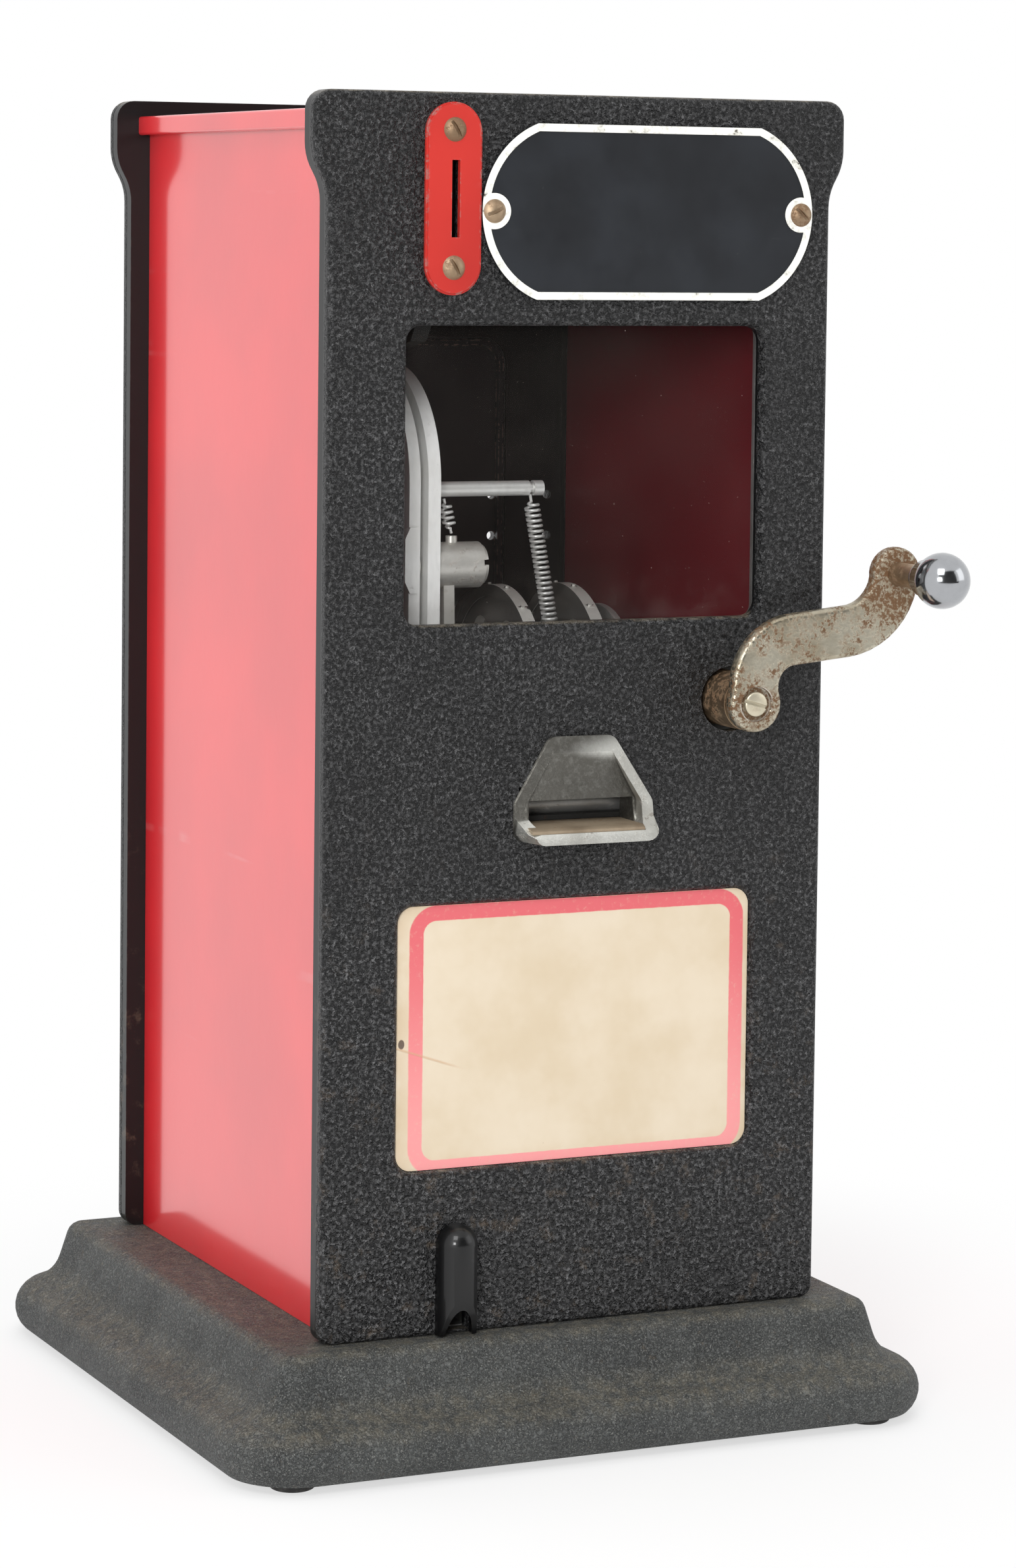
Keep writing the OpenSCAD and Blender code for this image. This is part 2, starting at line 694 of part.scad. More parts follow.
frame_t = 2;
frame_left_x = -20.5;
frame_right_x = 22.5;
frame_low = 157;
frame_back = 34;
spool_y = 24;
spool_z = 190;
tray_z = mouth_low + 1.4;
tray_t = 1.4;
rod_places = [[-64, 166.5], [2, 168], [31, 160.5]];
module frame_plate(x, dome_r, side, notch) {
  color(steel) difference() {
    union() {
      along_x(x, x + frame_t) {
        translate([-web_y, frame_low]) square([web_y + frame_back, 28]);
        translate([drum_y, drum_z]) circle(r = dome_r);
        translate([drum_y - dome_r, frame_low]) square([2 * dome_r, drum_z - frame_low]);
        translate([-web_y, frame_low]) square([web_y + drum_y, 54 - (notch ? 25 : 16)]);
        translate([spool_y, spool_z]) circle(r = 9);
        translate([spool_y - 9, frame_low]) square([18, spool_z - frame_low]);
      }
      flange_x = side > 0 ? x + frame_t - eps : x - 10 + eps;
      block([flange_x, -web_y, frame_low], [flange_x + 10, -web_y + frame_t, frame_low + 26]);
    }
    bar_x(drum_y, drum_z, drum_shaft_r + run_gap, x - 1, x + frame_t + 1);
    bar_x(spool_y, spool_z, 3, x - 1, x + frame_t + 1);
    for (p = rod_places) bar_x(p[0], p[1], 2, x - 1, x + frame_t + 1);
    along_x(x - 1, x + frame_t + 1) {
      translate([-14, 177]) round_square(34, 10, 4);
      translate([-52, 166]) round_square(8, 6, 2);
    }
  }
}
module frame_left() {
  frame_plate(frame_left_x, 15, -1, false);
  color(steel) bar_x(pawl_y, pawl_z, 2, frame_left_x + frame_t - eps, ratchet_x + ratchet_t);
}
module frame_right() { frame_plate(frame_right_x, 22.4, 1, true); }
module frame_rods() {
  color(steel) for (p = rod_places) {
    bar_x(p[0], p[1], 1.97, frame_left_x - 1.5, frame_right_x + frame_t + 1.5);
    bar_x(p[0], p[1], 2.8, frame_left_x + frame_t, frame_right_x);
  }
}
module feed_tray() {
  color(steel) difference() {
    union() {
      block([frame_left_x + frame_t, -web_y + 3.1, tray_z], [frame_right_x, frame_back - 16, tray_z + tray_t]);
    }
    for (x = [disc_x + disc_t / 2, disc_x + strip_w - disc_t / 2]) {
      block([x - 1.2, drum_y - 14, tray_z - 1], [x + 1.2, drum_y + 14, tray_z + 3]);
    }
    for (p = rod_places) bar_x(p[0], p[1], 3.1, frame_left_x, frame_right_x + frame_t);
  }
}

bracket_y = -66;
module crank_bracket() {
  color(steel) difference() {
    union() {
      block([frame_right_x + frame_t, bracket_y, 178], [crank_x + 11, bracket_y + 2, 208]);
      block([frame_right_x + frame_t, bracket_y, 178], [frame_right_x + frame_t + 2, bracket_y + 14, 186]);
    }
    bar_y(crank_x, crank_z, bushing_r, bracket_y - 1, bracket_y + 3);
    block([0, bracket_y - 1, 187], [lever_nose_x + 3.2, bracket_y + 3, 209]);
  }
}
bushing_back = -60.4;
module crank_bushing() {
  front = -face_y - arm_gap + 0.1;
  color(brown) difference() {
    union() {
      bar_y(crank_x, crank_z, bushing_r - 0.02, front, bushing_back);
      bar_y(crank_x, crank_z, bushing_r + 2.4, bracket_y + 2, bushing_back);
    }
    bar_y(crank_x, crank_z, crank_shaft_r + run_gap, front - 1, bushing_back + 1);
  }
}

// ---- crank ----

arm_back = -face_y - arm_gap;
arm_front = arm_back - arm_t;
tenon = 5;
pinion_r = pinion_teeth * tooth_module / 2;
crown_r = crown_teeth * tooth_module / 2;
pinion_y = drum_y - crown_r;
pinion_w = 4.6;
journal_r = 2.4;
module crank_shaft() {
  back = pinion_y + pinion_w / 2 + 1.4;
  color(bright) difference() {
    union() {
      bar_y(crank_x, crank_z, crank_shaft_r, arm_back, lock_y + lock_t);
      bar_y(crank_x, crank_z, journal_r, lock_y + lock_t - 1, back);
      block([crank_x - tenon / 2, arm_back - 1.8, crank_z - tenon / 2], [crank_x + tenon / 2, arm_back + eps, crank_z + tenon / 2]);
    }
    bar_y(crank_x, crank_z, 1.8, arm_back - 3, arm_back + 11);
  }
}

// Pinion teeth stand round the crank shaft and narrow towards their tips
module drive_pinion() {
  root_r = pinion_r - 1.1 * tooth_module;
  tip_r = pinion_r + 0.75 * tooth_module;
  color([0.75, 0.6, 0.3]) along_y(pinion_y - pinion_w / 2, pinion_y + pinion_w / 2) {
    translate([crank_x, crank_z]) difference() {
      union() {
        circle(r = root_r);
        for (i = [0:pinion_teeth - 1]) rotate(180 + i * 360 / pinion_teeth) polygon([
          [root_r - 0.4, -0.85 * tooth_module], [pinion_r, -0.6 * tooth_module],
          [tip_r, -0.28 * tooth_module], [tip_r, 0.28 * tooth_module],
          [pinion_r, 0.6 * tooth_module], [root_r - 0.4, 0.85 * tooth_module]
        ]);
      }
      circle(r = journal_r);
    }
  }
}

lock_y = -60.1;
lock_t = 2;
lock_r = 11;
module lock_disc() {
  color(steel) along_y(lock_y, lock_y + lock_t) translate([crank_x, crank_z]) difference() {
    circle(r = lock_r);
    circle(r = crank_shaft_r);
    for (a = [0:90:270]) rotate(a + 135) translate([lock_r - 2, -2]) square([4, 4]);
  }
}

// The arm: a lower boss, a bend, a short straight and a second bend up to the knob's boss
bend_1 = 12;
bend_2 = 16;
arm_rise = 4.5;
arm_tilt = 6;
straight = 16.35;
bend_1_c = [bend_1, arm_rise];
bend_1_end = bend_1_c + bend_1 * [cos(90 + arm_tilt), sin(90 + arm_tilt)];
straight_end = bend_1_end + straight * [cos(arm_tilt), sin(arm_tilt)];
bend_2_c = straight_end + bend_2 * [-sin(arm_tilt), cos(arm_tilt)];
bend_2_stop = -4;
knob_at = bend_2_c + bend_2 * [cos(bend_2_stop), sin(bend_2_stop)];
knob_x = crank_x + knob_at[0];
knob_z = crank_z + knob_at[1];
arm_edge_r = 1.4;
low_boss_r = 7.4;
high_boss_r = arm_w / 2 + 0.3;
// Stations along the arm: place, heading, and distances past the lower and the upper boss centres
function stations_line(a, b, heading, n) = [for (i = [0:n]) [a + (b - a) * i / n, heading]];
function stations_bend(c, r, a0, a1, n) = [for (i = [0:n]) let (a = a0 + (a1 - a0) * i / n)
  [c + r * [cos(a), sin(a)], a1 > a0 ? a + 90 : a - 90]];
high_heading = bend_2_stop + 90;
high_dir = [cos(high_heading), sin(high_heading)];
arm_stations = concat(
  [for (a = [4:14.3:90]) [[0, -low_boss_r * cos(a)], 90]],
  stations_line([0, 0.8], [0, arm_rise - 0.8], 90, 3),
  stations_bend(bend_1_c, bend_1, 180, 90 + arm_tilt, 10),
  stations_line(bend_1_end + (straight_end - bend_1_end) * 0.15, straight_end - (straight_end - bend_1_end) * 0.1, arm_tilt, 2),
  stations_bend(bend_2_c, bend_2, arm_tilt - 90, bend_2_stop, 10),
  [for (a = [80:-12.6:4]) [knob_at + high_boss_r * cos(a) * high_dir, high_heading]]);
function boss_depth(p, c, r) = r - norm(p - c);
function edge_height(d) = arm_t / 2 - arm_edge_r + sqrt(max(0, pow(arm_edge_r, 2) - pow(arm_edge_r - min(max(d, 0), arm_edge_r), 2)));
function arm_half(p) =
  let (low = low_boss_r * low_boss_r - p[0][1] * p[0][1], past = (p[0] - knob_at) * high_dir)
  p[0][1] < 0 ? sqrt(low)
  : past > 0 ? sqrt(max(0, high_boss_r * high_boss_r - past * past))
  : max(arm_w / 2, p[0][1] < arm_rise ? sqrt(low) : 0, past > -3 ? sqrt(high_boss_r * high_boss_r - past * past) : 0);
function arm_ring(p) =
  let (half = arm_half(p), side = [-sin(p[1]), cos(p[1])], m = 10, past = (p[0] - knob_at) * high_dir,
    free = p[0][1] > 0 && past < 0)
  [for (j = [0:2 * m + 1])
    let (k = j <= m ? j : 2 * m + 1 - j, across = half * cos(180 * k / m), q = p[0] + side * across,
      d = max(free ? half - abs(across) : 0, boss_depth(q, [0, 0], low_boss_r), boss_depth(q, knob_at, high_boss_r)),
      h = edge_height(d))
    [q[0], j <= m ? -h : h, q[1]]];
module crank_arm() {
  mid = (arm_front + arm_back) / 2;
  color(aged_nickel) difference() {
    translate([crank_x, mid, crank_z]) loft([for (p = arm_stations) arm_ring(p)]);
    bar_y(crank_x, crank_z, 4.6, arm_front - 1, arm_front + 1.5);
    bar_y(crank_x, crank_z, 1.9, arm_front - 1, arm_back + 1);
    block([crank_x - tenon / 2 - 0.05, arm_back - 1.85, crank_z - tenon / 2 - 0.05], [crank_x + tenon / 2 + 0.05, arm_back + 1, crank_z + tenon / 2 + 0.05]);
    bar_y(knob_x, knob_z, 2.3, arm_front - 1, arm_back + 1);
  }
}
module crank_screw() {
  color(aged_nickel) slotted_screw(crank_x, crank_z, arm_front + 1.5, 3.25, 1.75, 9, 35);
}
stud_len = 11.5;
knob_pin_r = 2;
knob_start = arm_front - stud_len - 0.3;
knob_c = knob_start - 12.2;
module knob_stud() {
  color(brown) {
    bar_y(knob_x, knob_z, stud_r, arm_front - stud_len, arm_front);
    bar_y(knob_x, knob_z, 2.25, arm_front - eps, arm_back - 0.1);
    bar_y(knob_x, knob_z, knob_pin_r, knob_start - 11, arm_front - stud_len + eps);
  }
}
// Pear-shaped knob: a neck, a hollow curve and a ball that meet at tangents
module crank_knob() {
  neck_r = 3.3;
  sweep_r = 9;
  reach = neck_r + sweep_r;
  ball_to_sweep = knob_r + sweep_r;
  rise = sqrt(ball_to_sweep * ball_to_sweep - reach * reach);
  meet = atan2(rise, reach);
  top = -knob_start + knob_c;
  profile = concat(
    [[0, 0], [neck_r - 0.4, 0], [neck_r, -0.4]],
    arc([reach, top + rise], sweep_r, 180, 180 + meet, 8),
    arc([0, top], knob_r, meet, -90, 16));
  color([0.86, 0.87, 0.88]) translate([knob_x, knob_start, knob_z]) rotate([-90, 0, 0]) difference() {
    rotate_extrude() polygon(profile);
    translate([0, 0, -11.3]) cylinder(r = knob_pin_r + run_gap, h = 12);
  }
}

// ---- feed drum ----

right_disc_x = disc_x + strip_w - disc_t;
module drum_shaft() {
  color(bright) {
    bar_x(drum_y, drum_z, drum_shaft_r, frame_left_x - 3, crown_x + 5);
    bar_x(drum_y, drum_z, drum_shaft_r + 1.2, frame_right_x + frame_t + seat_gap, crown_x);
    bar_x(drum_y, drum_z, drum_shaft_r + 1.2, frame_left_x - 2.6, frame_left_x - seat_gap);
  }
}
module feed_discs() {
  hub_r = 8;
  color(bright) difference() {
    union() {
      for (x = [disc_x, right_disc_x]) {
        difference() {
          bar_x(drum_y, drum_z, disc_r, x, x + disc_t);
          for (a = [0:60:300]) rotate_about_drum(a) bar_x(drum_y + 16.5, drum_z, 5, x - 1, x + disc_t + 1);
          bar_x(drum_y, drum_z, disc_r - 3, x - 1, x + 0.7);
        }
        bar_x(drum_y, drum_z, hub_r, x, x + disc_t);
        for (i = [0:pin_count - 1]) rotate_about_drum(i * 360 / pin_count + 11.25) {
          translate([x + disc_t / 2, drum_y, drum_z + disc_r - 0.5]) cylinder(r = 0.6, h = 1.1, $fn = 16);
        }
      }
      bar_x(drum_y, drum_z, hub_r - 1, disc_x, right_disc_x + disc_t);
    }
    bar_x(drum_y, drum_z, drum_shaft_r, disc_x - 1, right_disc_x + disc_t + 1);
  }
}
module rotate_about_drum(a) {
  translate([0, drum_y, drum_z]) rotate([a, 0, 0]) translate([0, -drum_y, -drum_z]) children();
}

// Crown wheel: teeth stand on the face towards the crank and mesh with its pinion
crown_pitch_x = crank_x - pinion_r;
crown_x = crown_pitch_x - 5;
crown_root_x = crown_pitch_x - 1.15 * tooth_module;
crown_tip_x = crown_pitch_x + 0.7 * tooth_module;
crown_in = crown_r - 1.8;
crown_out = crown_r + 1.8;
module crown_wheel() {
  color([0.75, 0.6, 0.3]) {
    difference() {
      union() {
        bar_x(drum_y, drum_z, crown_out, crown_x, crown_root_x);
      }
      bar_x(drum_y, drum_z, drum_shaft_r, crown_x - 1, crown_root_x + 1);
      bar_x(drum_y, drum_z, crown_in - 1, crown_x + 2, crown_root_x + 1);
    }
    difference() {
      bar_x(drum_y, drum_z, drum_shaft_r + 3, crown_x + 1, crown_root_x);
      bar_x(drum_y, drum_z, drum_shaft_r, crown_x - 1, crown_root_x + 1);
    }
    for (i = [0:crown_teeth - 1]) rotate_about_drum((i + 0.5) * 360 / crown_teeth) {
      translate([0, drum_y - crown_in, drum_z]) rotate([90, 0, 0]) linear_extrude(height = crown_out - crown_in) polygon([
        [crown_root_x - 0.3, -0.75 * tooth_module], [crown_pitch_x, -0.5 * tooth_module],
        [crown_tip_x, -0.25 * tooth_module], [crown_tip_x, 0.25 * tooth_module],
        [crown_pitch_x, 0.5 * tooth_module], [crown_root_x - 0.3, 0.75 * tooth_module]
      ]);
    }
  }
}

ratchet_x = -15.5;
ratchet_t = 2.5;
ratchet_r = 11;
ratchet_teeth = 16;
module ratchet_wheel() {
  step = 360 / ratchet_teeth;
  color(steel) along_x(ratchet_x, ratchet_x + ratchet_t) translate([drum_y, drum_z]) difference() {
    polygon([for (i = [0:ratchet_teeth - 1]) each [
      ratchet_r * [cos(i * step), sin(i * step)],
      (ratchet_r - 2) * [cos(i * step + 2), sin(i * step + 2)]
    ]]);
    circle(r = drum_shaft_r);
  }
}
pawl_y = drum_y + 20;
pawl_z = drum_z + 9;
module pawl() {
  tip = ratchet_r + 0.4;
  color(steel) along_x(ratchet_x, ratchet_x + ratchet_t) difference() {
    union() {
      translate([pawl_y, pawl_z]) circle(r = 3.6);
      polygon([
        [pawl_y, pawl_z - 3.4], [pawl_y + 1, pawl_z + 3.4], [drum_y + tip * cos(52), drum_z + tip * sin(52) + 1.6],
        [drum_y + tip * cos(52), drum_z + tip * sin(52)], [drum_y + (tip + 0.6) * cos(38), drum_z + (tip + 0.6) * sin(38)]
      ]);
      translate([pawl_y, pawl_z - 1.5]) square([9, 3]);
    }
    translate([pawl_y, pawl_z]) circle(r = 2 + run_gap);
  }
}

spool_r = 25;
spool_half = 14.5;
spool_mid = disc_x + strip_w / 2;
module spool() {
  color(steel) difference() {
    union() {
      bar_x(spool_y, spool_z, 7, spool_mid - spool_half, spool_mid + spool_half);
      for (x = [spool_mid - spool_half, spool_mid + spool_half - 1.4]) bar_x(spool_y, spool_z, spool_r, x, x + 1.4);
    }
    bar_x(spool_y, spool_z, 3 + run_gap, spool_mid - spool_half - 1, spool_mid + spool_half + 1);
    for (a = [0:72:288]) {
      translate([0, spool_y, spool_z]) rotate([a, 0, 0]) bar_x(16, 0, 4, spool_mid - spool_half - 1, spool_mid + spool_half + 1);
    }
  }
}
module spool_axle() {
  color(bright) {
    bar_x(spool_y, spool_z, 2.98, frame_left_x - 2, frame_right_x + frame_t + 2);
    bar_x(spool_y, spool_z, 4.5, frame_left_x + frame_t, spool_mid - spool_half - seat_gap);
    bar_x(spool_y, spool_z, 4.5, spool_mid + spool_half + seat_gap, frame_right_x);
  }
}

// ---- coin path ----

gap_x = coin_plate_x;
left_chute = gap_x - chute_gap / 2;
right_chute = gap_x + chute_gap / 2;
left_chute_t = 3.1;
right_chute_t = 3.5;
chute_front = -61;
chute_back = -20;
chute_bottom = 92;
chute_arch_r = 30;
arch_z = 250;
hub_y = -54;
hub_z = 228.5;
hub_r = 6;
spacer_places = [[-28, 262], [-27, 172], [-27, 110]];
module chute_outline_yz() {
  translate([chute_front, chute_bottom]) square([chute_back - chute_front, arch_z - chute_bottom]);
  intersection() {
    translate([chute_front + chute_arch_r, arch_z]) circle(r = chute_arch_r, $fn = 96);
    translate([chute_front, arch_z - 1]) square([chute_back - chute_front, chute_arch_r + 1]);
  }
}
module chute_plate_left() {
  outer = left_chute - left_chute_t;
  color(bright) difference() {
    union() {
      along_x(outer, left_chute) chute_outline_yz();
      // thickened pad on the front edge
      translate([0, 0, 0]) along_y(chute_front - 0.8, chute_front + 12) polygon([
        [outer + eps, 222], [outer - 1.4, 225], [outer - 1.4, 236], [outer + eps, 239], [left_chute - 1, 239], [left_chute - 1, 222]
      ]);
    }
    for (p = spacer_places) bar_x(p[0], p[1], 1.5, outer - 1, left_chute + 1);
  }
}
module chute_plate_right() {
  outer = right_chute + right_chute_t;
  color(bright) difference() {
    along_x(right_chute, outer) chute_outline_yz();
    for (p = spacer_places) bar_x(p[0], p[1], 1.5, right_chute - 1, outer + 1);
    bar_x(hub_y, hub_z, 2.5 + run_gap, right_chute - 1, outer + 1);
    bar_x(rod_y, rod_z, 2, right_chute - 1, outer + 1);
  }
}
// Screws through both plates, with spacers that hold them to the frame and to each other
module chute_spacers() {
  far_left = left_chute - left_chute_t;
  far_right = right_chute + right_chute_t;
  color(steel) for (i = [0:2]) {
    p = spacer_places[i];
    bar_x(p[0], p[1], 1.47, far_left - 0.5, far_right + (i == 1 ? 1 : 0.5));
    bar_x(p[0], p[1], 3, far_left - 2, far_left);
    bar_x(p[0], p[1], 3, left_chute, right_chute);
    bar_x(p[0], p[1], 3, far_right, i == 1 ? frame_left_x : far_right + 2);
  }
}
// Closed trough that leads a coin from the slot to the top of the chute
module coin_guide() {
  outer = 1.2;
  wide = chute_gap + 2 * outer;
  front = -web_y;
  low = arch_z + 8;
  color(steel) difference() {
    union() {
      along_x(gap_x - wide / 2, gap_x + wide / 2) polygon([
        [front, 336], [front, 309], [-56, 286.5], [-42, 284], [-30, 284], [-30, 292], [-44, 308], [-50, 330], [-56, 336]
      ]);
      block([gap_x - wide / 2, front, 334], [gap_x + wide / 2 + 8, front + 1.2, 342]);
    }
    along_x(gap_x - chute_gap / 2, gap_x + chute_gap / 2) polygon([
      [front - 1, 334.5], [front - 1, 311], [-54, 288], [-42, 283], [-31.2, 283], [-31.2, 291], [-45, 307], [-51.5, 328], [-57, 334.5]
    ]);
  }
}

rod_y = -54;
rod_z = 248.2;
rod_end = -1.3;
groove_x = -4.6;
spring_lean = 0.187;
module spring_rod() {
  color(bright) difference() {
    bar_x(rod_y, rod_z, 1.98, right_chute + 0.2, rod_end);
    difference() {
      bar_x(rod_y, rod_z, 3, groove_x - 0.6, groove_x + 0.6);
      bar_x(rod_y, rod_z, 1.2, groove_x - 1, groove_x + 1);
    }
  }
}

// Unbroken coil of wire from point a to point b, with straight ends that run into the coil
function ease(t) = t * t * (3 - 2 * t);
function coil_point(a, b, r, turns, k, n, end) =
  let (axis = unit(b - a), side = [0, 1, 0], up = cross(axis, side), long = norm(b - a),
    t = k / n, u = min(1, min(t, 1 - t) * turns), grow = ease(u))
  a + axis * (end + (long - 2 * end) * t) + r * grow * (cos(360 * turns * t) * up + sin(360 * turns * t) * side);
function coil_path(a, b, r, turns, end) =
  let (n = round(turns * 8))
  concat([a], [for (k = [0:n]) coil_point(a, b, r, turns, k, n, end)], [b]);
module wire_tube(path, r) {
  n = len(path);
  sides = 6;
  rings = [for (i = [0:n - 1])
    let (
      back = path[max(0, i - 1)], fore = path[min(n - 1, i + 1)], dir = unit(fore - back),
      ref = abs(dir[1]) > 0.99 ? [1, 0, 0] : [0, 1, 0],
      e1 = unit(cross(dir, ref)), e2 = cross(dir, e1))
    [for (j = [0:sides - 1]) path[i] + r * (cos(360 * j / sides) * e1 + sin(360 * j / sides) * e2)]];
  loft([for (i = [n - 1:-1:0]) rings[i]]);
}
// Least distance between the surfaces of neighbouring turns, measured on the points of the coil
function coil_gap(path, per_turn, wire) = min([for (i = [2:len(path) - per_turn - 3])
  min([for (j = [-1:1]) norm(path[i + per_turn + j] - path[i])]) - wire]);

stud_x = 3.1;
stud_z = 203;
main_top = [groove_x, rod_y, rod_z - 1.2 - wire_d / 2 - 0.05];
main_low = [stud_x, rod_y, stud_z + 1.5 + 0.35];
main_turns = floor((norm(main_top - main_low) - 6) / spring_pitch);
main_path = coil_path(main_top, main_low, (main_spring_d - wire_d) / 2, main_turns, 1.8);
module main_spring() {
  color(bright) wire_tube(main_path, wire_d / 2);
}
coin_top = [-29.2, rod_y, rod_z - 2 - wire_d / 2 - 0.05];
coin_low = [-27, rod_y, hub_z + hub_r + 2.2];
coin_turns = floor((norm(coin_top - coin_low) - 2.6) / spring_pitch);
coin_path = coil_path(coin_top, coin_low, (coin_spring_d - wire_d) / 2, coin_turns, 1);
module coin_spring() {
  color(bright) wire_tube(coin_path, wire_d / 2);
}
echo(main_spring_turns = main_turns, least_gap = coil_gap(main_path, 8, wire_d));
echo(coin_spring_turns = coin_turns, least_gap = coil_gap(coin_path, 8, wire_d));

// Lever that the long spring pulls up; its bent nose stands beside the lock disc
pivot_x = -12;
pivot_z = 200;
lever_y = -70.8;
lever_t = 2;
lever_nose_x = crank_x - lock_r - 1;
module lock_lever() {
  color(steel) difference() {
    union() {
      along_y(lever_y, lever_y + lever_t) {
        translate([pivot_x, pivot_z]) circle(r = 5);
        polygon([
          [pivot_x, pivot_z - 5], [lever_nose_x - 4, pivot_z - 3.5], [lever_nose_x, pivot_z - 3.5],
          [lever_nose_x, pivot_z + 2.5], [20, pivot_z + 3], [stud_x + 4, stud_z + 3], [pivot_x, pivot_z + 5]
        ]);
      }
      block([lever_nose_x - 2, lever_y, pivot_z - 3.5], [lever_nose_x, lock_y + lock_t, pivot_z + 2.5]);
      bar_y(stud_x, stud_z, 1.5, lever_y + lever_t - eps, rod_y + 1.5);
      bar_y(stud_x, stud_z, 2.3, rod_y + 1.5 - eps, rod_y + 2.4);
    }
    bar_y(pivot_x, pivot_z, 2 + run_gap, lever_y - 1, lever_y + lever_t + 1);
  }
}
module lever_pivot() {
  color(steel) {
    bar_y(pivot_x, pivot_z, 2, -web_y, lever_y + lever_t + 1.4);
    bar_y(pivot_x, pivot_z, 3.6, -web_y, lever_y - seat_gap);
    bar_y(pivot_x, pivot_z, 3.2, lever_y + lever_t + seat_gap, lever_y + lever_t + 1.4);
  }
}

// Hub, spring pin, tail and the finger that a coin pushes aside
module coin_lever() {
  hub_start = right_chute + right_chute_t + seat_gap;
  hub_end = -18.5;
  finger_t = chute_gap - 0.8;
  color(aged_nickel) {
    difference() {
      union() {
        bar_x(hub_y, hub_z, hub_r, hub_start, hub_end - 1);
        bar_x(hub_y, hub_z, hub_r - 0.8, hub_end - 1 - eps, hub_end);
        translate([coin_low[0], hub_y, hub_z + hub_r - 1]) cylinder(r = 1.5, h = 1.6 + 1);
        along_x(-30.4, -27.4) polygon([
          [hub_y - 3, hub_z], [hub_y + 4, hub_z], [hub_y + 1, hub_z - 22], [hub_y - 4, hub_z - 22]
        ]);
      }
      block([hub_end - 1.6, hub_y - 10, hub_z + 0.2], [hub_end + 1, hub_y + 10, hub_z + 1.6]);
    }
    bar_x(hub_y, hub_z, 2.5, gap_x - finger_t / 2, hub_start + eps);
    along_x(gap_x - finger_t / 2, gap_x + finger_t / 2) {
      translate([hub_y, hub_z]) circle(r = 3.5);
      translate([hub_y, hub_z - 1.5]) square([20, 3]);
    }
  }
}

// ---- cash box ----

module cash_box() {
  half_w = 46;
  front = -50;
  back = lug_y - 6;
  low = ledge_z + 0.3;
  color(steel) difference() {
    block([-half_w, front, low], [half_w, back, low + cash_h]);
    block([-half_w + cash_t, front + cash_t, low + cash_t], [half_w - cash_t, back - cash_t, low + cash_h + 1]);
  }
}

// ---- rear door ----

hinge_x = door_w / 2 + 2.6;
hinge_r = 2.3;
hinge_pin_r = 1.2;
hinge_y = face_y + hinge_r + 0.1;
hinge_leaf_t = 1.2;
hinge_leaf_w = 12;
hinge_hole_dx = 8.5;
hinge_half = 13;
hinge_z = [92, 232];
knuckle = 2 * hinge_half / 3;
module hinge_leaf(s) {
  block([min(hinge_x, hinge_x + s * hinge_leaf_w), face_y, -hinge_half], [max(hinge_x, hinge_x + s * hinge_leaf_w), face_y + hinge_leaf_t, hinge_half]);
}
module hinge_fixed() {
  color(black_paint) for (hz = hinge_z) translate([0, 0, hz]) difference() {
    union() {
      hinge_leaf(1);
      for (z = [-hinge_half, hinge_half - knuckle]) bar_z(hinge_x, hinge_y, hinge_r, z, z + knuckle);
    }
    bar_z(hinge_x, hinge_y, hinge_r + 0.35, -knuckle / 2 - 0.2, knuckle / 2 + 0.2);
    block([hinge_x - 5, face_y - 1, -knuckle / 2 - 0.2], [hinge_x + hinge_r + 0.4, hinge_y, knuckle / 2 + 0.2]);
    bar_z(hinge_x, hinge_y, hinge_pin_r, -hinge_half - 1, hinge_half + 1);
    for (dz = [-6, 6]) bar_y(hinge_x + hinge_hole_dx, dz, 1.3, face_y - 1, face_y + 3);
  }
}
module hinge_door() {
  color(black_paint) for (hz = hinge_z) translate([0, 0, hz]) difference() {
    union() {
      block([hinge_x - hinge_leaf_w, face_y, -hinge_half], [hinge_x - hinge_r - 0.4, face_y + hinge_leaf_t, hinge_half]);
      block([hinge_x - hinge_r - 0.5, face_y, -knuckle / 2 + 0.1], [hinge_x, face_y + hinge_leaf_t, knuckle / 2 - 0.1]);
      bar_z(hinge_x, hinge_y, hinge_r, -knuckle / 2 + 0.1, knuckle / 2 - 0.1);
    }
    bar_z(hinge_x, hinge_y, hinge_pin_r + run_gap, -hinge_half - 1, hinge_half + 1);
    for (dz = [-6, 6]) bar_y(hinge_x - hinge_hole_dx, dz, 1.3, face_y - 1, face_y + 3);
  }
}
module hinge_pins() {
  color(steel) for (hz = hinge_z) translate([0, 0, hz]) {
    bar_z(hinge_x, hinge_y, hinge_pin_r, -hinge_half, hinge_half);
    bar_z(hinge_x, hinge_y, hinge_pin_r + 0.8, hinge_half, hinge_half + 1);
  }
}

door_lock_x = -door_w / 2 + 14;
door_lock_z = 165;
barrel_r = 9;
plug_r = 6;
cam_gap = 0.4;
door_inner = face_y - door_t;
module rear_door() {
  flange_w = door_w - 2 * door_ledge - 1;
  flange_h = door_h - 2 * door_ledge - 1;
  color(black_paint) difference() {
    union() {
      along_y(face_y - door_t, face_y) translate([0, door_mid_z]) round_square(door_w, door_h, 9.6);
      difference() {
        along_y(face_y - 3.7, face_y - door_t + eps) translate([0, door_mid_z]) round_square(flange_w, flange_h, 7.2);
        along_y(face_y - 5, face_y) translate([0, door_mid_z]) round_square(flange_w - 3, flange_h - 3, 5.7);
      }
    }
    bar_y(door_lock_x, door_lock_z, barrel_r, face_y - 6, face_y + 1);
    for (hz = hinge_z, dz = [-6, 6]) bar_y(hinge_x - hinge_hole_dx, hz + dz, 1.3, face_y - 6, face_y + 1);
  }
}
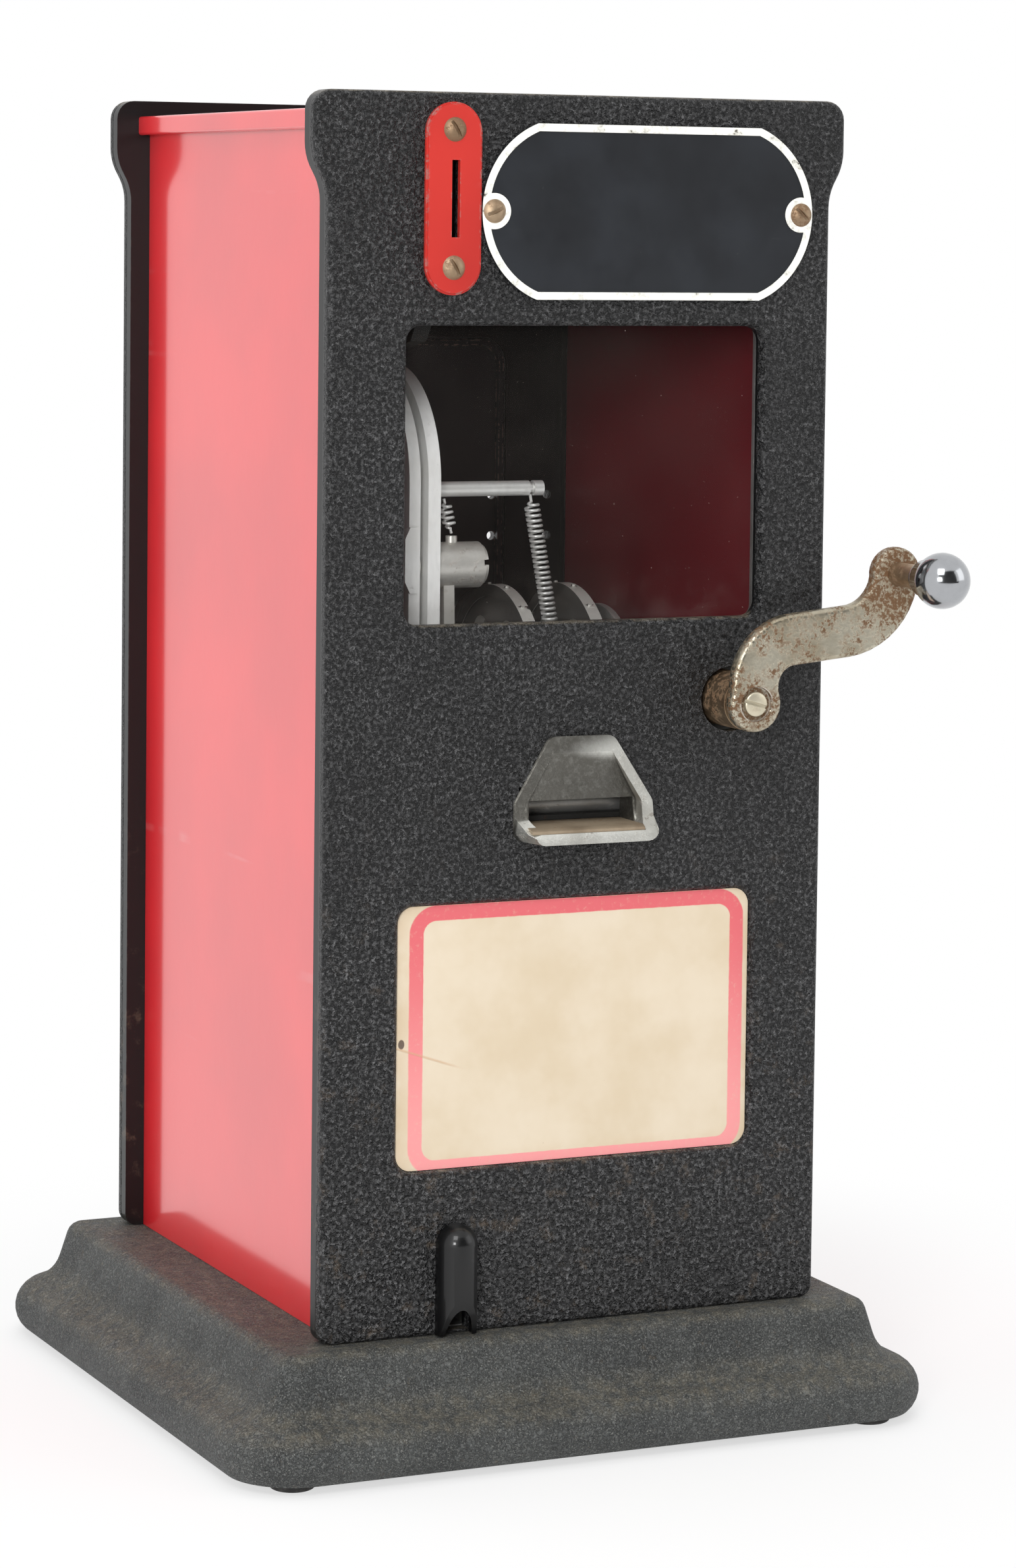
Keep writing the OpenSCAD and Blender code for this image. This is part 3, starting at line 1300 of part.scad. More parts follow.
module lock_barrel() {
  inner = web_y - 0.3;
  color(bright) difference() {
    union() {
      bar_y(door_lock_x, door_lock_z, barrel_r - 0.02, inner, face_y);
      bar_y(door_lock_x, door_lock_z, barrel_r + 2, face_y, face_y + 1.5);
    }
    bar_y(door_lock_x, door_lock_z, plug_r + run_gap, inner - 1, face_y + 3);
  }
}
module lock_cam() {
  inner = web_y - 0.3;
  cam_t = 2;
  color(bright) difference() {
    union() {
      bar_y(door_lock_x, door_lock_z, plug_r, inner - cam_gap, face_y + 1.5);
      along_y(inner - cam_gap - cam_t, inner - cam_gap) translate([door_lock_x, door_lock_z]) {
        circle(r = plug_r);
        translate([-4, 0]) square([8, 16]);
        translate([0, 16]) circle(r = 4);
      }
    }
    block([door_lock_x - 0.5, face_y - 1, door_lock_z - 3.5], [door_lock_x + 0.5, face_y + 2, door_lock_z + 3.5]);
  }
}

base();
feet();
base_bolts();
front_plate();
rear_plate();
side_panel_left();
side_panel_right();
lid();
window_glass();
glass_retainer();
retainer_screws();
label_card();
sign_plate();
sign_screws();
coin_plate();
coin_plate_screws();
stamp_chute();
tear_bar();
return_hood();
return_channel();
frame_left();
frame_right();
frame_rods();
feed_tray();
crank_bracket();
crank_bushing();
crank_shaft();
drive_pinion();
lock_disc();
crank_arm();
crank_screw();
knob_stud();
crank_knob();
drum_shaft();
feed_discs();
crown_wheel();
ratchet_wheel();
pawl();
spool();
spool_axle();
chute_plate_left();
chute_plate_right();
chute_spacers();
coin_guide();
spring_rod();
main_spring();
lock_lever();
lever_pivot();
coin_lever();
coin_spring();
cash_box();
rear_door();
hinge_fixed();
hinge_door();
hinge_pins();
lock_barrel();
lock_cam();
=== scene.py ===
"""Looks of a counter-top stamp vending machine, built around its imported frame.

Every sub-assembly is a class: its fields are sizes, and its methods build the meshes and dress them.
Every finish is a frozen dataclass that makes one procedural material. Lengths are in metres.
"""

from __future__ import annotations

import json
import logging
import math
from dataclasses import dataclass, field, replace
from enum import Enum
from typing import Any, Callable, Sequence, Union

import bpy  # noqa: E402
from mathutils import Matrix, Vector  # noqa: E402

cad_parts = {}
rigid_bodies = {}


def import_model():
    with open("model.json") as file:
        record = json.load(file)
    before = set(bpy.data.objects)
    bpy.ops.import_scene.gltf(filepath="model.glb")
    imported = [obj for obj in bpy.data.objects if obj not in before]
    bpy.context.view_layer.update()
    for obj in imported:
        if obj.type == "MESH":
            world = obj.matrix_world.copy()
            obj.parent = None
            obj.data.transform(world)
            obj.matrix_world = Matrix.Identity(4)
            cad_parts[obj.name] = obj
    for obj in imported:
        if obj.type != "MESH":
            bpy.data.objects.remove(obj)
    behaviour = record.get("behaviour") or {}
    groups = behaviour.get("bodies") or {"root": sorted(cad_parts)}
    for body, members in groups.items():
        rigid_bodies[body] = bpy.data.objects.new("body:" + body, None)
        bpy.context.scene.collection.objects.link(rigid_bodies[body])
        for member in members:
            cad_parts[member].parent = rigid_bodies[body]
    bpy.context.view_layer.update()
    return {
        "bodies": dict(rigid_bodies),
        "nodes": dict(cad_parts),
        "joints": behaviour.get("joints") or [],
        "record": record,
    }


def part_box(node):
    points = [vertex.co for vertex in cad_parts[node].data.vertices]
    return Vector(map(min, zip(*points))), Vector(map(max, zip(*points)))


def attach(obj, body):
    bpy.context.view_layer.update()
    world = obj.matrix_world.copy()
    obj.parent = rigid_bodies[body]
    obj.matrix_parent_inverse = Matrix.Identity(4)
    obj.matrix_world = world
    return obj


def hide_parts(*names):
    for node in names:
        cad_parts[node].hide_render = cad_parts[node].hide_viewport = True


LOG = logging.getLogger("stamp_machine")
MeshObject = bpy.types.Object
RawSocket = bpy.types.NodeSocket
Triple = tuple[float, float, float]
Colour = Triple
FACING_FRONT = Matrix.Rotation(math.radians(90), 4, "X")
MERGE_GAP = 0.000004
FLAT_ANGLE = math.radians(0.6)
ARRIS_ANGLE = math.radians(38)
NORMAL_WEIGHT = 60


class Slot(Enum):
    """The material slots that the part's record names."""

    CAST_BLACK = "cast_black"
    CAST_FOOT = "cast_foot"
    RUBBER = "rubber"
    RED_SHEET = "red_sheet"
    COIN_RED = "coin_red"
    GLASS = "glass"
    CARD = "card"
    SIGN = "enamel_sign"
    BLACK_GLOSS = "black_gloss"
    DOOR_BLACK = "door_black"
    ALUMINIUM = "cast_aluminium"
    ZINC = "zinc_steel"
    STEEL = "bright_steel"
    NICKEL = "aged_nickel"
    RUSTY = "rusty_steel"
    CHROME = "chrome"
    BRASS = "brass"


def linear(red: int, green: int, blue: int) -> Colour:
    """Turns an eight-bit display colour into scene-linear values.

    Args:
        red: Red, 0 to 255.
        green: Green, 0 to 255.
        blue: Blue, 0 to 255.

    Returns:
        The three linear values.
    """

    def channel(value: int) -> float:
        share = value / 255
        return share / 12.92 if share <= 0.04045 else ((share + 0.055) / 1.055) ** 2.4

    return (channel(red), channel(green), channel(blue))


def dimmed(colour: Colour, share: float) -> Colour:
    """Scales a colour.

    Args:
        colour: The colour.
        share: Factor on each channel.

    Returns:
        The scaled colour.
    """
    return (colour[0] * share, colour[1] * share, colour[2] * share)


# --- Shader graph ---


@dataclass(frozen=True)
class Socket:
    """One output of a shader node, with arithmetic that adds Math nodes to its graph."""

    graph: Graph
    raw: RawSocket

    def _math(self, operation: str, left: Value, right: Value = 0.0) -> Socket:
        """Adds a Math node.

        Args:
            operation: Blender's name of the operation.
            left: First operand.
            right: Second operand.

        Returns:
            The node's result.
        """
        return self.graph.node("ShaderNodeMath", {"operation": operation}, {0: left, 1: right})

    def __add__(self, other: Value) -> Socket:
        """Returns self + other."""
        return self._math("ADD", self, other)

    def __radd__(self, other: Value) -> Socket:
        """Returns other + self."""
        return self._math("ADD", other, self)

    def __sub__(self, other: Value) -> Socket:
        """Returns self - other."""
        return self._math("SUBTRACT", self, other)

    def __rsub__(self, other: Value) -> Socket:
        """Returns other - self."""
        return self._math("SUBTRACT", other, self)

    def __mul__(self, other: Value) -> Socket:
        """Returns self * other."""
        return self._math("MULTIPLY", self, other)

    def __truediv__(self, other: Value) -> Socket:
        """Returns self / other."""
        return self._math("DIVIDE", self, other)

    def __pow__(self, other: Value) -> Socket:
        """Returns self ** other."""
        return self._math("POWER", self, other)

    def __abs__(self) -> Socket:
        """Returns the absolute value."""
        return self._math("ABSOLUTE", self)

    def most(self, other: Value) -> Socket:
        """Returns the larger of self and other."""
        return self._math("MAXIMUM", self, other)

    def least(self, other: Value) -> Socket:
        """Returns the smaller of self and other."""
        return self._math("MINIMUM", self, other)

    def ramp(self, low: float, high: float, start: float = 0.0, end: float = 1.0) -> Socket:
        """Carries low..high smoothly to start..end.

        Args:
            low: Value that gives start.
            high: Value that gives end.
            start: Result at low.
            end: Result at high.

        Returns:
            The carried value, held outside the range.
        """
        if low > high:
            low, high, start, end = high, low, end, start
        return self.graph.node(
            "ShaderNodeMapRange",
            {"interpolation_type": "SMOOTHSTEP", "clamp": True},
            {"Value": self, "From Min": low, "From Max": high, "To Min": start, "To Max": end},
        )


Value = Union[Socket, float, int, tuple, Vector]


class Graph:
    """A material's node graph, with one Principled shader and a handful of shorthands."""

    def __init__(self, name: str) -> None:
        """Starts an empty graph.

        Args:
            name: Name of the material.
        """
        self.material = bpy.data.materials.new(name)
        self.material.use_nodes = True
        self.tree = self.material.node_tree
        self.tree.nodes.clear()
        self.output = self.tree.nodes.new("ShaderNodeOutputMaterial")
        self.shader = self.tree.nodes.new("ShaderNodeBsdfPrincipled")
        self.tree.links.new(self.shader.outputs[0], self.output.inputs[0])
        self.place = self.node("ShaderNodeTexCoord", {}, {}, "Object")
        parts = self.tree.nodes.new("ShaderNodeSeparateXYZ")
        self.tree.links.new(self.place.raw, parts.inputs[0])
        self.x, self.y, self.z = (Socket(self, parts.outputs[k]) for k in range(3))

    def node(
        self, kind: str, settings: dict[str, Any], inputs: dict[Any, Value], output: Union[int, str] = 0
    ) -> Socket:
        """Adds any node.

        Args:
            kind: Blender's node type.
            settings: Attributes, set before the sockets.
            inputs: Constants or sockets by input name or number.
            output: Which output to hand back.

        Returns:
            The chosen output.
        """
        made = self.tree.nodes.new(kind)
        for key, value in settings.items():
            setattr(made, key, value)
        for key, value in inputs.items():
            self.feed(made.inputs[key], value)
        return Socket(self, made.outputs[output])

    def feed(self, slot: RawSocket, value: Value) -> None:
        """Links a socket to an input, or sets a constant there.

        Args:
            slot: Input to feed.
            value: Socket or constant.
        """
        if isinstance(value, Socket):
            self.tree.links.new(value.raw, slot)
        elif isinstance(value, (tuple, Vector)) and len(slot.default_value) == 4:
            slot.default_value = (*value[:3], 1.0)
        else:
            slot.default_value = value

    def set(self, **inputs: Value) -> None:
        """Feeds the Principled shader; underscores in the names stand for spaces.

        Args:
            **inputs: Constants or sockets by input name.
        """
        for key, value in inputs.items():
            self.feed(self.shader.inputs[key.replace("_", " ")], value)

    def noise(
        self, scale: float, detail: float = 2.0, rough: float = 0.5, stretch: Triple = (1, 1, 1)
    ) -> Socket:
        """Gives fractal noise in Object coordinates.

        Args:
            scale: Features per metre.
            detail: Octaves.
            rough: Weight of the fine octaves.
            stretch: Scale along each axis.

        Returns:
            Noise from 0 to 1.
        """
        place = self.place
        if stretch != (1, 1, 1):
            place = self.node("ShaderNodeVectorMath", {"operation": "MULTIPLY"}, {0: place, 1: stretch})
        inputs = {"Vector": place, "Scale": scale, "Detail": detail, "Roughness": rough}
        return self.node("ShaderNodeTexNoise", {}, inputs)

    def facing(self, axis: int) -> Socket:
        """Gives one component of the surface normal.

        Args:
            axis: 0, 1 or 2 for X, Y or Z.

        Returns:
            The component, -1 to 1.
        """
        normal = self.node("ShaderNodeNewGeometry", {}, {}, "Normal")
        return self.node("ShaderNodeSeparateXYZ", {}, {0: normal}, axis)

    def edges(self, reach: float, low: float = 0.02, high: float = 0.25) -> Socket:
        """Finds arrises by comparing the true normal with one rounded over a small radius.

        Args:
            reach: Radius in metres.
            low: Difference at which wear starts.
            high: Difference at which wear is full.

        Returns:
            0 on flats to 1 on arrises.
        """
        soft = self.node("ShaderNodeBevel", {"samples": 4}, {"Radius": reach})
        hard = self.node("ShaderNodeNewGeometry", {}, {}, "Normal")
        dot = self.node("ShaderNodeVectorMath", {"operation": "DOT_PRODUCT"}, {0: soft, 1: hard}, "Value")
        return (1.0 - dot).ramp(low, high)

    def blend(self, share: Value, under: Value, over: Value) -> Socket:
        """Mixes two colours.

        Args:
            share: 0 gives under, 1 gives over.
            under: First colour.
            over: Second colour.

        Returns:
            The mixed colour.
        """
        mixed = self.tree.nodes.new("ShaderNodeMix")
        mixed.data_type = "RGBA"
        mixed.clamp_factor = True
        self.feed(mixed.inputs[0], share)
        self.feed(mixed.inputs[6], under)
        self.feed(mixed.inputs[7], over)
        return Socket(self, mixed.outputs[2])

    def layer(self, share: Value, under: RawSocket, over: RawSocket) -> RawSocket:
        """Mixes two shaders.

        Args:
            share: 0 gives under, 1 gives over.
            under: First shader's output.
            over: Second shader's output.

        Returns:
            The mixed shader's output.
        """
        mixed = self.tree.nodes.new("ShaderNodeMixShader")
        self.feed(mixed.inputs[0], share)
        self.tree.links.new(under, mixed.inputs[1])
        self.tree.links.new(over, mixed.inputs[2])
        return mixed.outputs[0]

    def bump(self, *layers: tuple[Value, float]) -> None:
        """Stacks bump layers into the shader's normal.

        Args:
            *layers: Pairs of height (0 to 1) and depth in metres.
        """
        normal: Value | None = None
        for height, depth in layers:
            inputs: dict[Any, Value] = {"Height": height, "Distance": depth, "Strength": 1.0}
            if normal is not None:
                inputs["Normal"] = normal
            normal = self.node("ShaderNodeBump", {}, inputs)
        self.set(Normal=normal)

    def rounded_frame(self, centre: tuple[float, float], half: tuple[float, float], radius: float) -> Socket:
        """Signed distance in the XZ plane from a rounded rectangle.

        Args:
            centre: Its middle as (x, z).
            half: Its half width and half height.
            radius: Its corner radius.

        Returns:
            Metres, negative inside.
        """
        across = (abs(self.x - centre[0]) - (half[0] - radius)).most(0.0)
        up = (abs(self.z - centre[1]) - (half[1] - radius)).most(0.0)
        corner = (across * across + up * up) ** 0.5
        inside = (abs(self.x - centre[0]) - half[0]).most(abs(self.z - centre[1]) - half[1]).least(0.0)
        return (corner - radius).most(-radius) + (inside + radius).least(0.0)


# --- Finishes ---


@dataclass(frozen=True)
class Finish:
    """A finish: the record's material slot that it fills, its own name, and how its material is made."""

    slot: Slot
    label: str

    def material(self) -> bpy.types.Material:
        """Gives the material, made once.

        Returns:
            The material of this finish.
        """
        found = bpy.data.materials.get(self.label)
        if found is None:
            graph = Graph(self.label)
            self.draw(graph)
            found = graph.material
        return found

    def draw(self, g: Graph) -> None:
        """Adds the finish's nodes.

        Args:
            g: Its graph.
        """
        raise NotImplementedError


@dataclass(frozen=True)
class WrinkleEnamel(Finish):
    """Stoved black wrinkle enamel on a casting, with painted shade in the troughs of its wrinkles and pale
    specks on their crests, partly dust and partly painted highlight.
    """

    paint: Colour = linear(30, 30, 31)
    pale: Colour = linear(106, 106, 107)
    grain: float = 430.0
    depth: float = 0.0007
    glint_and_dust: float = 0.85
    brown: float = 0.2
    worn: float = 0.4
    inner_y: float = 0.0728
    dusty_below: float = 0.06
    dust_fade: float = 0.13

    def draw(self, g: Graph) -> None:
        """Builds the wrinkled enamel.

        Args:
            g: Its graph.
        """
        coarse = g.noise(self.grain * 0.9, 3.0, 0.65)
        worm = abs(coarse - 0.5).ramp(0.0, 0.09, 1.0, 0.0)
        fine = g.noise(self.grain * 2.1, 3.0, 0.7)
        patch = g.noise(28.0, 3.0, 0.55)
        outside = abs(g.y).ramp(self.inner_y, self.inner_y + 0.001)
        worm, fine = worm * outside, fine * outside
        low = g.z.ramp(self.dusty_below, self.dusty_below + self.dust_fade, 1.0, 0.0)
        dusty = patch.ramp(0.3, 0.7, 0.7, 1.0) + low * 0.3
        # Pale specks on the wrinkle crests, heavier where dusty: partly dust, partly painted highlight for
        # the glints of the crinkled gloss.
        speck = (fine.ramp(0.44, 0.66) * worm.ramp(0.1, 0.9, 0.45, 1.0)) * dusty
        # Painted shade: away from the crests the troughs take the paint dimmed to 45 %.
        shade = g.blend(worm, dimmed(self.paint, 0.45), self.paint)
        colour = g.blend(speck * self.glint_and_dust, shade, self.pale)
        dust = g.noise(160.0, 4.0, 0.7).ramp(0.56, 0.72) * low * self.brown
        colour = g.blend(dust, colour, linear(139, 120, 100))
        worn = g.edges(0.0008, 0.04, 0.5) * g.noise(240.0, 3.0, 0.7).ramp(0.5, 0.72)
        colour = g.blend(worn * self.worn, colour, linear(128, 126, 120))
        up = g.facing(2).ramp(0.6, 0.98) * g.noise(300.0, 4.0).ramp(0.3, 0.62)
        colour = g.blend(up * 0.45, colour, linear(150, 140, 122))
        g.set(Base_Color=colour, Roughness=0.36 + speck * 0.3, Specular_IOR_Level=0.35)
        g.bump((worm, self.depth), (fine, self.depth * 0.45))


@dataclass(frozen=True)
class FootPaint(Finish):
    """Greyer, rubbed paint of the cast foot, with brown grime in the cove and on the ledges."""

    def draw(self, g: Graph) -> None:
        """Builds the worn foot paint.

        Args:
            g: Its graph.
        """
        coarse = g.noise(700.0, 3.0, 0.65)
        worm = abs(coarse - 0.5).ramp(0.0, 0.1, 1.0, 0.0)
        fine = g.noise(2100.0, 3.0, 0.7)
        patch = g.noise(45.0, 4.0, 0.6)
        colour = g.blend(patch.ramp(0.35, 0.65), linear(74, 76, 75), linear(56, 58, 58))
        # Pale specks on the wrinkle crests: partly pale grit, partly painted highlight for the sheen of the
        # ledges.
        speck = fine.ramp(0.5, 0.68) * worm.ramp(0.1, 0.9, 0.4, 1.0) * 0.85
        colour = g.blend(speck, colour, linear(150, 151, 147))
        high = g.facing(2).ramp(0.25, 0.9)
        dust = g.noise(320.0, 5.0, 0.75)
        colour = g.blend(high * dust.ramp(0.34, 0.66) * 0.42, colour, linear(136, 129, 112))
        colour = g.blend(dust.ramp(0.6, 0.7) * 0.3, colour, linear(112, 96, 76))
        worn = g.edges(0.0012, 0.02, 0.3) * g.noise(300.0, 3.0, 0.7).ramp(0.42, 0.66)
        colour = g.blend(worn * 0.7, colour, linear(176, 172, 162))
        g.set(Base_Color=colour, Roughness=0.5 + dust * 0.2, Specular_IOR_Level=0.45)
        g.bump((worm, 0.0006), (fine, 0.0002), (dust, 0.00015))


@dataclass(frozen=True)
class GlossEnamel(Finish):
    """Gloss enamel over sheet, with chips, dust and fine scratches, and, where an x limit is given, painted
    shade on its inside face.
    """

    paint: Colour = linear(222, 32, 40)
    shade: Colour = linear(206, 26, 36)
    under: Colour = linear(120, 112, 104)
    rough: float = 0.12
    coat: float = 1.0
    chip: float = 0.35
    peel: float = 0.00002
    coat_ior: float = 1.9
    shaded_inside_x: float = 0.0
    inside_shade: Colour = linear(128, 34, 44)
    skin: float = 0.0004

    def draw(self, g: Graph) -> None:
        """Builds the enamel.

        Args:
            g: Its graph.
        """
        cloud = g.noise(14.0, 3.0, 0.55)
        speck = g.noise(1500.0, 2.0, 0.6).ramp(0.68, 0.76)
        edge = g.edges(0.0009, 0.05, 0.5)
        chips = (edge * g.noise(420.0, 4.0, 0.75).ramp(0.5, 0.6)).least(1.0) * self.chip
        scratch = g.noise(120.0, 2.0, 0.5, (1.0, 0.05, 1.4)).ramp(0.66, 0.74)
        scratch = scratch * g.noise(60.0).ramp(0.45, 0.7)
        colour = g.blend(cloud.ramp(0.3, 0.7), self.paint, self.shade)
        colour = g.blend(speck * 0.25, colour, dimmed(self.paint, 0.55))
        colour = g.blend(scratch * 0.25, colour, tuple(0.6 * c + 0.25 for c in self.paint))
        colour = g.blend(chips, colour, self.under)
        coat: Value = (1.0 - chips) * self.coat
        # Painted shade: inside the panel, within the x limit, the red turns maroon and loses its coat, for
        # the shade inside the box.
        if self.shaded_inside_x:
            outside = abs(g.x).ramp(self.shaded_inside_x, self.shaded_inside_x + self.skin)
            colour = g.blend(outside, self.inside_shade, colour)
            coat = coat * outside
        g.set(
            Base_Color=colour,
            Roughness=0.38 + chips * 0.3,
            Specular_IOR_Level=0.3,
            Coat_Weight=coat,
            Coat_Roughness=self.rough,
            Coat_IOR=self.coat_ior,
        )
        g.bump((g.noise(260.0, 2.0, 0.5), self.peel), (chips, 0.00006))


@dataclass(frozen=True)
class BareMetal(Finish):
    """Metal with brushed or cast grain, tarnish in patches and rust freckles.

    rust_near holds the places with more rust, each as x, z and reach. Behind the given y limit the metal is
    darker, partly grime and partly painted shade in the recess; the arrises can take a painted highlight.
    """

    tint: Colour = (0.6, 0.6, 0.6)
    dull: Colour = (0.35, 0.34, 0.33)
    rust: float = 0.0
    rust_colour: Colour = linear(128, 84, 52)
    freckle: float = 420.0
    rough: float = 0.3
    grain: Triple = (1.0, 1.0, 1.0)
    grain_scale: float = 900.0
    depth: float = 0.00002
    tarnish: float = 0.4
    metal: float = 1.0
    grime_and_shade_y: float = 0.0
    dark_sides: float = 0.0
    edge_highlight: float = 0.0
    rust_near: tuple[Triple, ...] = ()

    def draw(self, g: Graph) -> None:
        """Builds the metal.

        Args:
            g: Its graph.
        """
        patch = g.noise(70.0, 4.0, 0.6)
        lines = g.noise(self.grain_scale, 3.0, 0.6, self.grain)
        spots = g.noise(self.freckle, 5.0, 0.75)
        where = g.noise(self.freckle * 0.16, 3.0, 0.6)
        rust = spots.ramp(0.6 - self.rust * 0.14, 0.66 - self.rust * 0.1)
        rust = (rust * where.ramp(0.32, 0.62)).least(1.0)
        for x, z, reach in self.rust_near:
            across, up = (g.x - x) / reach, (g.z - z) / reach
            close = (across * across + up * up).ramp(0.3, 1.5, 1.0, 0.0)
            rust = (rust + close * spots.ramp(0.34, 0.56)).least(1.0)
        amount = rust * min(1.0, self.rust * 1.4)
        colour = g.blend(patch.ramp(0.35, 0.68) * self.tarnish, self.tint, self.dull)
        colour = g.blend(lines.ramp(0.35, 0.75) * 0.25, colour, dimmed(self.tint, 0.7))
        brown = g.blend(spots.ramp(0.55, 0.8), self.rust_colour, dimmed(self.rust_colour, 0.45))
        colour = g.blend(amount, colour, brown)
        # Painted highlight along the arrises, partly the brighter metal of worn edges.
        if self.edge_highlight:
            edge = g.edges(0.0009, 0.02, 0.3) * self.edge_highlight
            colour = g.blend(edge, colour, linear(240, 238, 230))
        if self.dark_sides:
            side = abs(g.facing(0)).ramp(0.5, 0.9) * self.dark_sides
            colour = g.blend(side, colour, linear(44, 42, 40))
        # Darker behind the y limit: partly grime, partly painted shade deep in the recess.
        if self.grime_and_shade_y:
            dirt = g.y.ramp(self.grime_and_shade_y, self.grime_and_shade_y + 0.0012) * spots.ramp(0.2, 0.6, 0.8, 1.0)
            colour = g.blend(dirt, colour, dimmed(self.dull, 0.36))
        g.set(
            Base_Color=colour,
            Metallic=self.metal - amount * 0.85 * self.metal,
            Roughness=self.rough + patch * 0.14 + lines * 0.08 + amount * 0.4,
        )
        g.bump((lines, self.depth), (rust, 0.00005 * (1.0 if self.rust else 0.0)))


@dataclass(frozen=True)
class PaperCard(Finish):
    """Cream card with a pink line set in from its edge, aged and handled. The face is left bare."""

    centre: tuple[float, float] = (0.0002, 0.109)
    half: tuple[float, float] = (0.0501, 0.03395)
    print_centre: tuple[float, float] = (0.0012, 0.1082)
    print_half: tuple[float, float] = (0.0479, 0.0349)
    line_wide: float = 0.0038
    corner: float = 0.0045
    print_corner: float = 0.0075
    nick: tuple[float, float] = (-0.0487, 0.1078)
    nick_half: tuple[float, float] = (0.0009, 0.0013)
    crease_at: tuple[float, float] = (-0.047, 0.1058)
    crease_slope: float = 0.34
    crease_fade: tuple[float, float] = (-0.038, -0.030)

    def draw(self, g: Graph) -> None:
        """Builds the card.

        Args:
            g: Its graph.
        """
        away = g.rounded_frame(self.centre, self.half, self.corner) * -1.0
        wobble = (g.noise(400.0, 3.0) - 0.5) * 0.0003
        printed = g.rounded_frame(self.print_centre, self.print_half, self.print_corner) * -1.0 + wobble
        line = printed.ramp(-0.0002, 0.0002)
        line = line * printed.ramp(self.line_wide, self.line_wide + 0.0003, 1.0, 0.0)
        fibre = g.noise(900.0, 3.0, 0.6)
        stain = g.noise(38.0, 4.0, 0.62)
        cream = g.blend(stain.ramp(0.3, 0.72), linear(214, 200, 178), linear(204, 187, 160))
        handled = away.ramp(0.0, 0.006, 0.4, 0.0) * g.noise(120.0, 3.0).ramp(0.35, 0.6)
        cream = g.blend(handled, cream, linear(196, 170, 136))
        ink = g.blend(g.z.ramp(0.08, 0.14), linear(228, 146, 146), linear(212, 98, 104))
        colour = g.blend(line * fibre.ramp(0.2, 0.45, 0.75, 1.0), cream, ink)
        specks = g.noise(520.0, 4.0, 0.8).ramp(0.7, 0.76)
        colour = g.blend(specks * 0.5, colour, linear(150, 118, 84))
        nick_x = (g.x - self.nick[0]) / self.nick_half[0]
        nick_z = (g.z - self.nick[1]) / self.nick_half[1]
        nick = (nick_x * nick_x + nick_z * nick_z).ramp(0.7, 1.1, 1.0, 0.0)
        colour = g.blend(nick * 0.85, colour, linear(60, 40, 34))
        slant = abs((g.z - self.crease_at[1]) + (g.x - self.crease_at[0]) * self.crease_slope)
        crease = slant.ramp(0.0, 0.0005, 1.0, 0.0) * g.x.ramp(*self.crease_fade, 1.0, 0.0)
        colour = g.blend(crease * 0.6, colour, linear(196, 158, 122))
        g.set(Base_Color=colour, Roughness=0.5 + stain * 0.15, Specular_IOR_Level=0.4)
        g.set(Coat_Weight=0.12, Coat_Roughness=0.35)
        g.bump((fibre, 0.00002), (g.noise(60.0, 2.0), 0.00025), (crease, 0.00012))


@dataclass(frozen=True)
class SignEnamel(Finish):
    """Dark ground with a pale raised rim, chipped a little. The ground is left bare."""

    face_y: float = -0.0777
    step: float = 0.00035

    def draw(self, g: Graph) -> None:
        """Builds the two-colour plate.

        Args:
            g: Its graph.
        """
        white = g.y.ramp(self.face_y + self.step * 0.35, self.face_y + self.step * 0.7, 1.0, 0.0)
        wear = g.noise(260.0, 4.0, 0.7)
        ground = g.blend(g.noise(50.0, 3.0).ramp(0.3, 0.7), linear(34, 37, 42), linear(24, 26, 30))
        scratch = g.noise(180.0, 3.0, 0.6, (0.12, 1.0, 1.3)).ramp(0.66, 0.76)
        ground = g.blend(scratch * 0.18, ground, linear(120, 122, 124))
        ground = g.blend(wear.ramp(0.7, 0.78) * 0.5, ground, linear(146, 146, 140))
        pale = g.blend(wear.ramp(0.5, 0.7), linear(236, 236, 230), linear(196, 194, 184))
        pale = g.blend(wear.ramp(0.63, 0.68) * g.noise(900.0).ramp(0.45, 0.6), pale, linear(84, 78, 70))
        g.set(Base_Color=g.blend(white, ground, pale), Roughness=0.34 + wear * 0.16, Specular_IOR_Level=0.4)
        g.bump((g.noise(240.0, 2.0), 0.00005), (scratch, 0.00002))


@dataclass(frozen=True)
class WindowGlass(Finish):
    """Clear glass with a film of dust, scuffs and specks."""

    clear: float = 0.93
    polish: float = 0.03
    ior: float = 1.35
    shine: float = 0.35
    sill: tuple[float, float] = (0.216, 0.232)

    def draw(self, g: Graph) -> None:
        """Builds the dusty glass.

        Args:
            g: Its graph.
        """
        film = g.noise(34.0, 4.0, 0.62)
        specks = g.noise(1900.0, 2.0, 0.6).ramp(0.73, 0.78)
        swipe = g.noise(130.0, 3.0, 0.6, (0.16, 1.0, 1.0)).ramp(0.66, 0.8)
        swipe = swipe * g.noise(30.0).ramp(0.5, 0.66)
        low = g.z.ramp(*self.sill, 1.0, 0.0) * g.noise(110.0, 4.0, 0.7).ramp(0.42, 0.66)
        haze = film.ramp(0.3, 0.8, 0.4, 1.0) * 0.012
        dirt = (specks * 0.4 + swipe * 0.035 + haze + low * 0.015).least(0.8)
        g.set(Base_Color=linear(206, 196, 186), Roughness=0.7)
        through = g.tree.nodes.new("ShaderNodeBsdfTransparent")
        through.inputs[0].default_value = (self.clear, self.clear, self.clear, 1.0)
        gloss = g.tree.nodes.new("ShaderNodeBsdfGlossy")
        gloss.inputs["Roughness"].default_value = self.polish
        fresnel = g.node("ShaderNodeFresnel", {}, {"IOR": self.ior}) * self.shine
        pane = g.layer(fresnel, through.outputs[0], gloss.outputs[0])
        g.tree.links.new(g.layer(dirt, pane, g.shader.outputs[0]), g.output.inputs[0])


